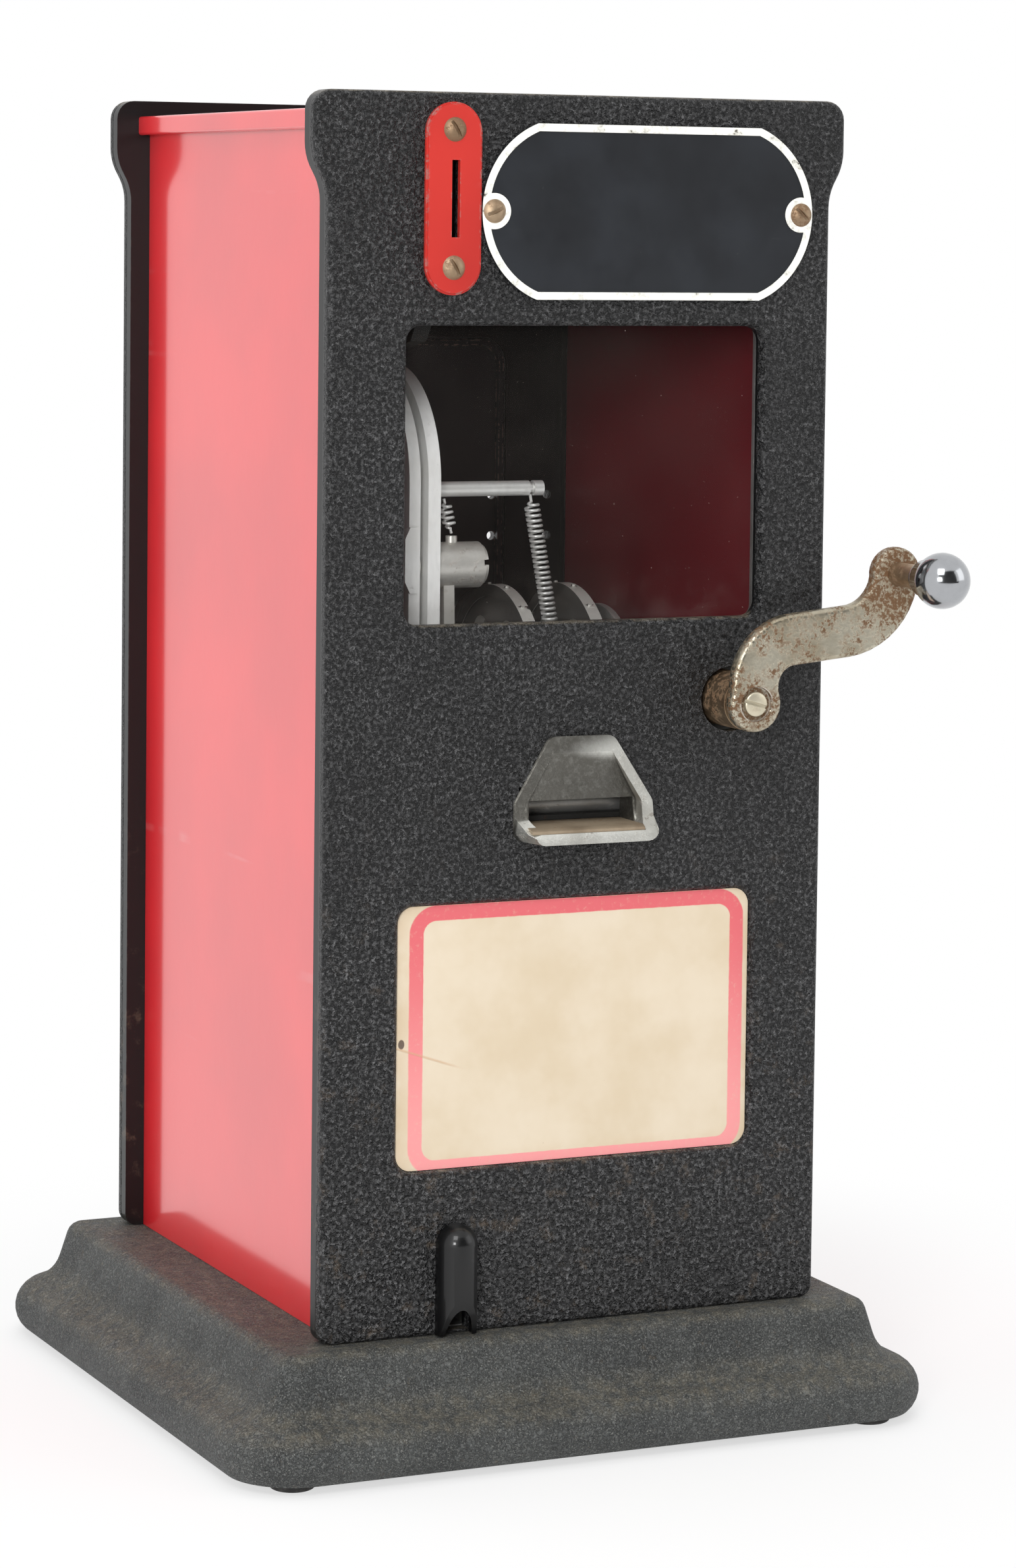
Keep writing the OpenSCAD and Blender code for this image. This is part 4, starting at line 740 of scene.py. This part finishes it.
@dataclass(frozen=True)
class Rubber(Finish):
    """Black rubber, greyed with bloom."""

    def draw(self, g: Graph) -> None:
        """Builds the rubber.

        Args:
            g: Its graph.
        """
        bloom = g.noise(350.0, 4.0, 0.7)
        colour = g.blend(bloom.ramp(0.4, 0.7), linear(34, 33, 33), linear(70, 68, 66))
        g.set(Base_Color=colour, Roughness=0.7 + bloom * 0.2)
        g.bump((bloom, 0.00005))


ENAMEL = WrinkleEnamel(Slot.CAST_BLACK, "wrinkle_enamel")
FOOT = FootPaint(Slot.CAST_FOOT, "foot_paint")
RUBBER = Rubber(Slot.RUBBER, "foot_rubber")
RED = GlossEnamel(Slot.RED_SHEET, "lid_enamel")
# The side panels take painted shade on their inside faces.
RED_SIDE = replace(RED, label="side_enamel", shaded_inside_x=0.0646)
COIN_RED = GlossEnamel(
    Slot.COIN_RED,
    "coin_plate_enamel",
    paint=linear(196, 50, 42),
    shade=linear(160, 34, 30),
    under=linear(140, 138, 132),
    rough=0.3,
    coat=0.3,
    chip=1.4,
    peel=0.00005,
    coat_ior=1.4,
)
GLASS = WindowGlass(Slot.GLASS, "dusty_glass")
CARD = PaperCard(Slot.CARD, "printed_card")
SIGN = SignEnamel(Slot.SIGN, "sign_enamel")
GLOSS_BLACK = GlossEnamel(
    Slot.BLACK_GLOSS,
    "hood_enamel",
    paint=linear(7, 7, 8),
    shade=linear(4, 4, 5),
    under=linear(90, 88, 84),
    rough=0.08,
    coat=0.45,
    chip=0.15,
    peel=0.00001,
    coat_ior=1.45,
)
DOOR_BLACK = replace(
    GLOSS_BLACK,
    slot=Slot.DOOR_BLACK,
    label="door_enamel",
    paint=linear(34, 35, 38),
    shade=linear(27, 28, 30),
    under=linear(150, 120, 112),
    rough=0.3,
    coat=0.35,
    chip=2.4,
    peel=0.00004,
)
CASTING = BareMetal(
    Slot.ALUMINIUM,
    "outlet_casting",
    tint=linear(222, 222, 216),
    dull=linear(164, 161, 153),
    rust=0.35,
    rust_colour=linear(92, 76, 60),
    freckle=520.0,
    rough=0.4,
    grain_scale=1300.0,
    depth=0.00016,
    tarnish=0.6,
    grime_and_shade_y=-0.0787,
)
CHUTE_PLATE = BareMetal(
    Slot.ALUMINIUM,
    "chute_plate_metal",
    tint=linear(248, 248, 246),
    dull=linear(226, 224, 218),
    rust=0.05,
    rough=0.42,
    grain=(1.0, 1.0, 0.3),
    depth=0.00003,
    metal=0.1,
)
ZINC = BareMetal(
    Slot.ZINC,
    "zinc_plate",
    tint=linear(196, 196, 194),
    dull=linear(148, 144, 138),
    rust=0.2,
    rough=0.36,
    grain=(1.0, 1.0, 0.2),
    tarnish=0.6,
    metal=0.8,
)
# Dark zinc; on the feed tray it is also painted shadow for the stamp mouth.
DARK_ZINC_AND_SHADOW = BareMetal(
    Slot.ZINC,
    "blackened_zinc_and_painted_shadow",
    tint=linear(44, 43, 42),
    dull=linear(24, 24, 24),
    rust=0.1,
    rough=0.5,
    tarnish=0.6,
    metal=0.3,
)
STEEL = BareMetal(
    Slot.STEEL,
    "bright_steel_bar",
    tint=linear(236, 236, 234),
    dull=linear(200, 198, 192),
    rust=0.08,
    rough=0.24,
    grain=(1.0, 1.0, 0.3),
    depth=0.00001,
    metal=0.5,
)
DISC = BareMetal(
    Slot.STEEL,
    "feed_disc_steel",
    tint=linear(226, 224, 218),
    dull=linear(180, 176, 168),
    rust=0.1,
    metal=0.5,
    dark_sides=0.85,
)
NICKEL = BareMetal(
    Slot.NICKEL,
    "arm_nickel",
    tint=linear(200, 194, 176),
    dull=linear(150, 136, 110),
    rust=0.95,
    rust_colour=linear(106, 77, 50),
    freckle=900.0,
    rough=0.22,
    depth=0.00003,
    tarnish=0.7,
    edge_highlight=0.8,
    rust_near=((0.0838, 0.2245, 0.011), (0.0435, 0.1935, 0.0056)),
)
HUB = BareMetal(
    Slot.NICKEL,
    "hub_nickel",
    tint=linear(222, 220, 214),
    dull=linear(176, 170, 158),
    rust=0.25,
    metal=0.6,
)
SCREW_NICKEL = replace(
    HUB,
    label="screw_nickel",
    tint=linear(214, 206, 184),
    dull=linear(168, 156, 128),
    rust=0.2,
    rough=0.28,
    metal=0.7,
)
RUSTY = BareMetal(
    Slot.RUSTY,
    "brown_steel",
    tint=linear(176, 154, 128),
    dull=linear(130, 104, 80),
    rust=0.8,
    rust_colour=linear(124, 96, 70),
    rough=0.4,
    depth=0.00003,
    tarnish=0.8,
)
TONGUE = BareMetal(
    Slot.RUSTY,
    "tear_bar_steel",
    tint=linear(160, 144, 122),
    dull=linear(122, 106, 86),
    rust=0.3,
    rough=0.5,
    depth=0.00004,
    tarnish=0.8,
    metal=0.4,
)
CHROME = BareMetal(
    Slot.CHROME,
    "knob_chrome",
    tint=linear(176, 178, 181),
    dull=linear(160, 162, 165),
    rough=0.03,
    grain_scale=300.0,
    depth=0.000002,
    tarnish=0.15,
)
BRASS = BareMetal(
    Slot.BRASS,
    "gear_brass",
    tint=linear(214, 176, 96),
    dull=linear(150, 112, 58),
    rust=0.15,
    rust_colour=linear(96, 70, 40),
    tarnish=0.5,
)


# --- Mesh work ---


def only(obj: MeshObject) -> None:
    """Makes one object the selected and active one.

    Args:
        obj: The object.
    """
    bpy.ops.object.select_all(action="DESELECT")
    obj.select_set(True)
    bpy.context.view_layer.objects.active = obj


def editing(obj: MeshObject, work: Callable[[], None]) -> None:
    """Runs mesh operators on all of one object in edit mode.

    Args:
        obj: The object.
        work: What to run.
    """
    only(obj)
    bpy.ops.object.mode_set(mode="EDIT")
    bpy.ops.mesh.select_all(action="SELECT")
    work()
    bpy.ops.object.mode_set(mode="OBJECT")


def modified(obj: MeshObject, kind: str, **settings: Any) -> None:
    """Adds a modifier and applies it.

    Args:
        obj: The object.
        kind: Blender's modifier type.
        **settings: Its settings.
    """
    only(obj)
    added = obj.modifiers.new(kind.lower(), kind)
    for key, value in settings.items():
        setattr(added, key, value)
    bpy.ops.object.modifier_apply(modifier=added.name)


def smooth(obj: MeshObject, degrees: float = 32.0) -> None:
    """Smooths shading across shallow edges.

    Args:
        obj: The object.
        degrees: Sharper edges stay hard.
    """
    only(obj)
    bpy.ops.object.shade_smooth_by_angle(angle=math.radians(degrees))


def turned(name: str, profile: Sequence[tuple[float, float]], sides: int = 48) -> MeshObject:
    """Turns a solid about Z by growing a disc ring by ring.

    Args:
        name: Name of the piece.
        profile: Radius and height of each ring, from the bottom.
        sides: Facets round it.

    Returns:
        The solid, at the origin.
    """
    radius, height = profile[0]
    bpy.ops.object.select_all(action="DESELECT")
    bpy.ops.mesh.primitive_circle_add(vertices=sides, radius=radius, fill_type="NGON", location=(0, 0, 0))
    obj = bpy.context.object
    obj.name = obj.data.name = name

    def grow() -> None:
        nonlocal radius, height
        bpy.ops.transform.translate(value=(0, 0, height))
        for next_radius, next_height in profile[1:]:
            bpy.ops.mesh.extrude_region_move(TRANSFORM_OT_translate={"value": (0, 0, next_height - height)})
            ratio = next_radius / radius
            bpy.ops.transform.resize(value=(ratio, ratio, 1), center_override=(0, 0, next_height))
            radius, height = next_radius, next_height
        bpy.ops.mesh.select_all(action="SELECT")
        bpy.ops.mesh.normals_make_consistent(inside=False)

    editing(obj, grow)
    return obj


def placed(obj: MeshObject, where: Sequence[float], spin: float = 0.0) -> MeshObject:
    """Moves a solid's mesh into place, pointing out of the front. Its object stays at the origin.

    Args:
        obj: The solid, pointing up at the origin.
        where: Point that its origin goes to, in metres.
        spin: Turn about its own axis first, in degrees.

    Returns:
        The same object.
    """
    own = Matrix.Rotation(math.radians(spin), 4, "Z")
    obj.data.transform(Matrix.Translation(Vector(where)) @ FACING_FRONT @ own @ obj.matrix_world)
    obj.matrix_world = Matrix.Identity(4)
    return obj


def grid(name: str, size: float) -> MeshObject:
    """Adds a flat grid at the origin.

    Args:
        name: Name of the piece.
        size: Length of its sides.

    Returns:
        The grid.
    """
    bpy.ops.object.select_all(action="DESELECT")
    bpy.ops.mesh.primitive_grid_add(x_subdivisions=4, y_subdivisions=4, size=size)
    obj = bpy.context.object
    obj.name = name
    return obj


def twin(obj: MeshObject, name: str) -> MeshObject:
    """Copies an object with a mesh of its own.

    Args:
        obj: What to copy.
        name: Name of the copy.

    Returns:
        The copy.
    """
    copy = bpy.data.objects.new(name, obj.data.copy())
    copy.data.name = name
    bpy.context.scene.collection.objects.link(copy)
    copy.matrix_world = obj.matrix_world.copy()
    return copy


@dataclass
class SlottedScrew:
    """A screw head with a domed top and a sawn slot."""

    radius: float
    height: float
    slot_wide: float
    slot_deep: float
    dome: float = 0.35
    steps: int = 6
    crown: float = 0.12

    def build(self, name: str) -> MeshObject:
        """Models the head with its seat at z = 0.

        Args:
            name: Name of the piece.

        Returns:
            The head at the origin, pointing up.
        """
        r, h = self.radius, self.height
        rise = h * self.dome
        profile = [(r * 0.96, -0.0002), (r, 0.0), (r, h - rise)]
        for k in range(1, self.steps + 1):
            angle = math.radians(90 * k / (self.steps + 0.6))
            ring = r * (math.cos(angle) if k < self.steps else self.crown)
            profile.append((ring, h - rise + rise * math.sin(angle)))
        head = turned(name, profile, 40)
        bpy.ops.object.select_all(action="DESELECT")
        bpy.ops.mesh.primitive_cube_add(size=1.0, location=(0, 0, h))
        saw = bpy.context.object
        saw.scale = (r * 3, self.slot_wide, self.slot_deep * 2)
        modified(head, "BOOLEAN", operation="DIFFERENCE", object=saw, solver="EXACT")
        bpy.data.objects.remove(saw, do_unlink=True)
        limit = math.radians(40)
        modified(head, "BEVEL", width=r * 0.035, segments=2, limit_method="ANGLE", angle_limit=limit)
        smooth(head)
        return head


# --- Sub-assemblies ---


@dataclass
class Assembly:
    """What every sub-assembly shares: the frame and the ways to dress its pieces."""

    frame: dict[str, Any]
    pieces: list[str] = field(default_factory=list)

    def body_of(self, node: str) -> str:
        """Names the body that carries a node.

        Args:
            node: The node.

        Returns:
            The body's name.
        """
        bodies = self.frame["record"]["behaviour"]["bodies"]
        return next(body for body, nodes in bodies.items() if node in nodes)

    def finished(self, obj: MeshObject, finish: Finish, *nodes: str) -> MeshObject:
        """Gives a piece its material, its body and the nodes that it stands for.

        Args:
            obj: The piece, in place.
            finish: Its finish.
            *nodes: Nodes that it replaces, the first of which names its body.

        Returns:
            The same object.
        """
        obj.data.materials.clear()
        obj.data.materials.append(finish.material())
        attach(obj, self.body_of(nodes[0]))
        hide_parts(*nodes)
        self.pieces.append(obj.name)
        return obj

    def carried(self, node: str, finish: Finish, edge: float = 0.00012, degrees: float = 30.0) -> MeshObject:
        """Dresses a merged, softened copy of a node.

        Args:
            node: The node.
            finish: Its finish.
            edge: Width of the softened arrises, or 0 for none.
            degrees: Edges sharper than this stay hard.

        Returns:
            The piece that stands for the node.
        """
        source = self.frame["nodes"][node]
        obj = twin(source, f"{node}_dressed")
        obj.data.transform(obj.matrix_world)
        obj.matrix_world = Matrix.Identity(4)

        def merge() -> None:
            bpy.ops.mesh.remove_doubles(threshold=MERGE_GAP)
            bpy.ops.mesh.dissolve_limited(angle_limit=FLAT_ANGLE)
            bpy.ops.mesh.normals_make_consistent(inside=False)

        editing(obj, merge)
        if edge:
            modified(obj, "BEVEL", width=edge, segments=2, limit_method="ANGLE", angle_limit=ARRIS_ANGLE)
        smooth(obj, degrees)
        modified(obj, "WEIGHTED_NORMAL", mode="FACE_AREA", weight=NORMAL_WEIGHT, keep_sharp=True)
        return self.finished(obj, finish, node)

    def build(self) -> None:
        """Builds the sub-assembly."""
        raise NotImplementedError


@dataclass
class CastBody(Assembly):
    """The two cast end plates and the foot with its rubber pads and bolts."""

    plate_edge: float = 0.0
    foot_edge: float = 0.0003

    def build(self) -> None:
        """Dresses the castings."""
        for node in ("front_plate", "rear_plate"):
            self.carried(node, ENAMEL, self.plate_edge, 28)
        self.carried("base", FOOT, self.foot_edge, 28)
        self.carried("feet", RUBBER, 0.0003)
        self.carried("base_bolts", ZINC)


@dataclass
class SheetShell(Assembly):
    """The red side panels and the red lid."""

    edge: float = 0.0002

    def build(self) -> None:
        """Dresses the enamelled sheets."""
        for node in ("side_panel_left", "side_panel_right"):
            self.carried(node, RED_SIDE, self.edge)
        self.carried("lid", RED, self.edge)


@dataclass
class FrontFittings(Assembly):
    """The window with its retainer, the bare card in its recess and the bare sign, with their screws."""

    def build(self) -> None:
        """Dresses the fittings of the front plate."""
        self.carried("window_glass", GLASS, 0.0)
        self.carried("glass_retainer", ZINC)
        self.carried("retainer_screws", ZINC)
        self.carried("label_card", CARD, 0.0)
        self.carried("sign_plate", SIGN, 0.00015)
        self.carried("sign_screws", RUSTY, 0.0001)


@dataclass
class CoinEntry(Assembly):
    """The red slot plate, the chute plates behind it, and the coin return with its hood."""

    def build(self) -> None:
        """Dresses the coin pieces."""
        self.carried("coin_plate", COIN_RED, 0.00018)
        self.carried("coin_plate_screws", RUSTY, 0.0001)
        for node in ("chute_plate_left", "chute_plate_right"):
            self.carried(node, CHUTE_PLATE, 0.0002)
        self.carried("chute_spacers", ZINC)
        self.carried("coin_guide", DARK_ZINC_AND_SHADOW)
        self.carried("return_hood", GLOSS_BLACK, 0.0002)
        self.carried("return_channel", ZINC)


@dataclass
class StampOutlet(Assembly):
    """The cast mouth, the tear bar under it and the tray that leads the strip to it."""

    plate_y: float = -0.0765
    lip_top: float = 0.1612
    left_share: float = 0.02
    top_share: float = 0.6
    narrow: float = 0.0024
    thin: float = 0.0018
    wall: float = 0.0022
    skin: float = 0.0003
    lip_blend: float = 0.003
    widening: float = 1.35
    tongue_reach: float = 0.0022

    def draw_back(self, obj: MeshObject) -> None:
        """Lowers the casting's walls towards the plate, most at its left, but not the lip below.

        Args:
            obj: The casting.
        """
        half = max(v.co.x for v in obj.data.vertices)
        for v in obj.data.vertices:
            if v.co.y > self.plate_y - self.skin:
                continue
            across = (v.co.x + half) / (2 * half)
            above = min(1.0, max(0.0, (v.co.z - self.lip_top) / self.lip_blend))
            share = self.left_share + (self.top_share - self.left_share) * min(1.0, across * self.widening)
            share = 1.0 + (share - 1.0) * above
            v.co.y = self.plate_y + (v.co.y - self.plate_y) * share
            if v.co.x < 0:
                v.co.x += self.narrow * (1.0 - across)
            if v.co.x < 0 and above and v.co.x > -half + self.wall:
                v.co.x -= self.thin * (1.0 - across)

    def build(self) -> None:
        """Dresses the outlet and carries the tear bar's left end out past the drawn-back wall."""
        chute = self.carried("stamp_chute", CASTING, 0.00045)
        self.draw_back(chute)
        tongue = self.carried("tear_bar", TONGUE, 0.0001)
        for v in tongue.data.vertices:
            if v.co.x < 0 and v.co.y < self.plate_y:
                v.co.x -= self.tongue_reach
        # Painted shadow: the tray takes the dark zinc so that the stamp mouth reads black.
        self.carried("feed_tray", DARK_ZINC_AND_SHADOW)


@dataclass
class Crank(Assembly):
    """The hand crank: arm, screw, stud and the turned knob, and what it drives inside."""

    screw: SlottedScrew = field(default_factory=lambda: SlottedScrew(0.0032, 0.0017, 0.0009, 0.0012))
    screw_turn: float = -17.0
    screw_seat: float = 0.0015
    knob_r: float = 0.0073
    neck_r: float = 0.0041
    knob_long: float = 0.0182
    ball_from: float = -38.0
    ball_sweep: float = 127.0
    ball_steps: int = 14
    ball_tip: float = 0.012
    knob_sides: int = 64

    def knob(self) -> MeshObject:
        """Turns the pear-shaped knob: a tapered neck that runs into a ball.

        Returns:
            The knob, in place.
        """
        low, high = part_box("crank_knob")
        middle = ((low[0] + high[0]) / 2, (low[2] + high[2]) / 2)
        ball = self.knob_long - self.knob_r
        neck = self.neck_r
        profile = [(neck * 0.86, 0.0), (neck, 0.0005), (neck, 0.0013), (neck * 1.22, 0.0026)]
        for k in range(self.ball_steps + 1):
            angle = math.radians(self.ball_from + self.ball_sweep * k / self.ball_steps)
            ring = self.knob_r * max(self.ball_tip, math.cos(angle))
            profile.append((ring, ball + self.knob_r * math.sin(angle)))
        knob = turned("crank_knob_turned", profile, self.knob_sides)
        return placed(knob, (middle[0], high[1], middle[1]))

    def build(self) -> None:
        """Dresses the crank and models its screw and its knob."""
        self.carried("crank_arm", NICKEL, 0.0, 40)
        low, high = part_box("crank_screw")
        arm_low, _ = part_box("crank_arm")
        seat = (0.5 * (low[0] + high[0]), arm_low[1] + self.screw_seat, 0.5 * (low[2] + high[2]))
        head = placed(self.screw.build("crank_screw_head"), seat, self.screw_turn)
        self.finished(head, SCREW_NICKEL, "crank_screw")
        self.carried("knob_stud", RUSTY, 0.0001)
        knob = self.knob()
        smooth(knob, 40)
        self.finished(knob, CHROME, "crank_knob")
        self.carried("crank_bushing", RUSTY, 0.0002)
        self.carried("crank_shaft", STEEL)
        self.carried("crank_bracket", ZINC)
        self.carried("drive_pinion", BRASS, 0.0)
        self.carried("lock_disc", ZINC)


@dataclass
class FeedWork(Assembly):
    """The feed mechanism: frames, drum, crown wheel, ratchet, levers, springs and the spool."""

    steel: tuple[str, ...] = ("drum_shaft", "spool_axle", "spring_rod", "main_spring", "coin_spring")
    frames: tuple[str, ...] = ("frame_left", "frame_right", "frame_rods", "ratchet_wheel")
    moving: tuple[str, ...] = ("pawl", "spool", "lock_lever", "lever_pivot")

    def build(self) -> None:
        """Dresses the mechanism."""
        for node in self.steel:
            self.carried(node, STEEL, 0.0 if "spring" in node else 0.00008, 40)
        for node in self.frames + self.moving:
            self.carried(node, ZINC, 0.0001)
        self.carried("feed_discs", DISC, 0.0, 40)
        self.carried("crown_wheel", BRASS, 0.0)
        self.carried("coin_lever", HUB, 0.0001)


@dataclass
class CashAndDoor(Assembly):
    """The cash box, the rear door, its hinges and its lock."""

    def build(self) -> None:
        """Dresses the cash box and the door."""
        self.carried("cash_box", ZINC, 0.00015)
        for node in ("rear_door", "hinge_fixed", "hinge_door"):
            self.carried(node, DOOR_BLACK, 0.0002)
        self.carried("hinge_pins", DARK_ZINC_AND_SHADOW)
        for node in ("lock_barrel", "lock_cam"):
            self.carried(node, STEEL)


ASSEMBLIES = (CastBody, SheetShell, FrontFittings, CoinEntry, StampOutlet, Crank, FeedWork, CashAndDoor)


# --- Studio ---


@dataclass(frozen=True)
class Lamp:
    """A soft rectangular lamp."""

    name: str
    where: tuple[float, float, float]
    towards: tuple[float, float, float]
    size: tuple[float, float]
    watts: float
    mirrored: bool = True

    def light(self) -> None:
        """Hangs the lamp."""
        data = bpy.data.lights.new(self.name, "AREA")
        data.shape = "RECTANGLE"
        data.size, data.size_y = self.size
        data.energy = self.watts
        obj = bpy.data.objects.new(self.name, data)
        bpy.context.scene.collection.objects.link(obj)
        obj.visible_glossy = self.mirrored
        way = Vector(self.towards) - Vector(self.where)
        turn = way.to_track_quat("-Z", "Y").to_matrix().to_4x4()
        obj.matrix_world = Matrix.Translation(Vector(self.where)) @ turn


@dataclass
class Studio:
    """White sweep, soft lamps and the camera that stands where the photographer stood."""

    eye: tuple[float, float, float] = (-0.48848, -1.09354, 0.31617)
    yaw: float = 24.678
    pitch: float = -3.906
    roll: float = 0.664
    lens: float = 100.93
    shift_y: float = -0.1639
    ambient: float = 0.48
    white_level: float = 1.0
    clear_near: float = 0.17
    clear_far: float = 0.30
    wall_y: float = -2.3
    wall_size: tuple[float, float] = (4.2, 2.4)
    wall_sunk: float = 0.05
    floor_size: float = 14.0
    floor_glow: float = 0.62
    lamps: tuple[Lamp, ...] = (
        Lamp("key", (-0.9, -1.4, 1.7), (0, 0, 0.15), (0.9, 0.9), 17),
        Lamp("window", (-1.25, -1.7, 0.6), (0, 0, 0.24), (0.45, 0.45), 18),
        Lamp("fill", (1.5, -1.2, 0.9), (0, 0, 0.15), (1.4, 1.2), 5),
        Lamp("back_left", (-1.6, 1.3, 0.7), (0, 0, 0.2), (1.8, 1.4), 10, False),
        Lamp("over", (0.1, 0.1, 1.9), (0, 0, 0), (1.8, 1.8), 12, False),
    )

    def floor(self) -> None:
        """Lays the pale floor."""
        ground = grid("studio_floor", self.floor_size)
        g = Graph("studio_floor")
        tone = g.blend(g.noise(0.8, 2.0).ramp(0.3, 0.7), (0.93, 0.93, 0.93), (0.92, 0.92, 0.92))
        g.set(Base_Color=tone, Roughness=0.85, Specular_IOR_Level=0.1)
        away = (g.x * g.x + g.y * g.y) ** 0.5
        glow = g.tree.nodes.new("ShaderNodeEmission")
        glow.inputs["Strength"].default_value = self.white_level
        straight = g.node("ShaderNodeLightPath", {}, {}, "Is Camera Ray")
        seen = straight.most(g.node("ShaderNodeLightPath", {}, {}, "Is Glossy Ray"))
        share = away.ramp(self.clear_near, self.clear_far, self.floor_glow, 1.0) * seen
        g.tree.links.new(g.layer(share, g.shader.outputs[0], glow.outputs[0]), g.output.inputs[0])
        ground.data.materials.append(g.material)

    def dark_room(self) -> None:
        """Stands a dark wall behind the camera, seen only in reflections."""
        wall = grid("studio_dark_wall", 1.0)
        wide, high = self.wall_size
        stand = FACING_FRONT @ Matrix.Diagonal((wide, high, 1, 1))
        wall.data.transform(Matrix.Translation((0, self.wall_y, high / 2 - self.wall_sunk)) @ stand)
        g = Graph("studio_dark_wall")
        tone = g.blend(g.noise(1.5).ramp(0.3, 0.7), (0.06, 0.06, 0.06), (0.04, 0.04, 0.04))
        g.set(Base_Color=tone, Roughness=0.9)
        wall.data.materials.append(g.material)
        wall.visible_camera = False
        wall.visible_diffuse = False
        wall.visible_shadow = False

    def sky(self) -> None:
        """Sets a world that the camera sees as white and that lights the object softly."""
        world = bpy.data.worlds.new("studio")
        world.use_nodes = True
        tree = world.node_tree
        tree.nodes.clear()
        output = tree.nodes.new("ShaderNodeOutputWorld")
        path = tree.nodes.new("ShaderNodeLightPath")
        mix = tree.nodes.new("ShaderNodeMixShader")
        for number, strength in enumerate((self.ambient, self.white_level), 1):
            light = tree.nodes.new("ShaderNodeBackground")
            light.inputs["Color"].default_value = (1, 1, 1, 1)
            light.inputs["Strength"].default_value = strength
            tree.links.new(light.outputs[0], mix.inputs[number])
        either = tree.nodes.new("ShaderNodeMath")
        either.operation = "MAXIMUM"
        tree.links.new(path.outputs["Is Camera Ray"], either.inputs[0])
        tree.links.new(path.outputs["Is Glossy Ray"], either.inputs[1])
        tree.links.new(either.outputs[0], mix.inputs[0])
        tree.links.new(mix.outputs[0], output.inputs[0])
        bpy.context.scene.world = world

    def camera(self) -> None:
        """Sets up the camera from its place, its angles and its lens."""
        yaw, pitch, roll = (math.radians(a) for a in (self.yaw, self.pitch, self.roll))
        level = math.cos(pitch)
        ahead = Vector((math.sin(yaw) * level, math.cos(yaw) * level, math.sin(pitch)))
        right = Vector((math.cos(yaw), -math.sin(yaw), 0))
        up = right.cross(ahead)
        tilted_right = right * math.cos(roll) + up * math.sin(roll)
        tilted_up = up * math.cos(roll) - right * math.sin(roll)
        data = bpy.data.cameras.new("photo_camera")
        data.sensor_width = 36
        data.lens = self.lens
        data.shift_y = self.shift_y
        data.clip_start, data.clip_end = 0.05, 50
        obj = bpy.data.objects.new("photo_camera", data)
        bpy.context.scene.collection.objects.link(obj)
        turn = Matrix((tilted_right, tilted_up, -ahead)).transposed().to_4x4()
        obj.matrix_world = Matrix.Translation(Vector(self.eye)) @ turn
        bpy.context.scene.camera = obj

    def build(self) -> None:
        """Builds the studio."""
        scene = bpy.context.scene
        scene.view_settings.view_transform = "Standard"
        self.floor()
        self.dark_room()
        self.sky()
        self.camera()
        for lamp in self.lamps:
            lamp.light()


def main() -> None:
    """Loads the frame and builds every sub-assembly in order."""
    logging.basicConfig(level=logging.INFO, format="%(name)s: %(message)s")
    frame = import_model()
    Studio().build()
    for kind in ASSEMBLIES:
        assembly = kind(frame)
        assembly.build()
        LOG.info("%s: %d pieces", kind.__name__, len(assembly.pieces))


if __name__ == "__main__":
    main()
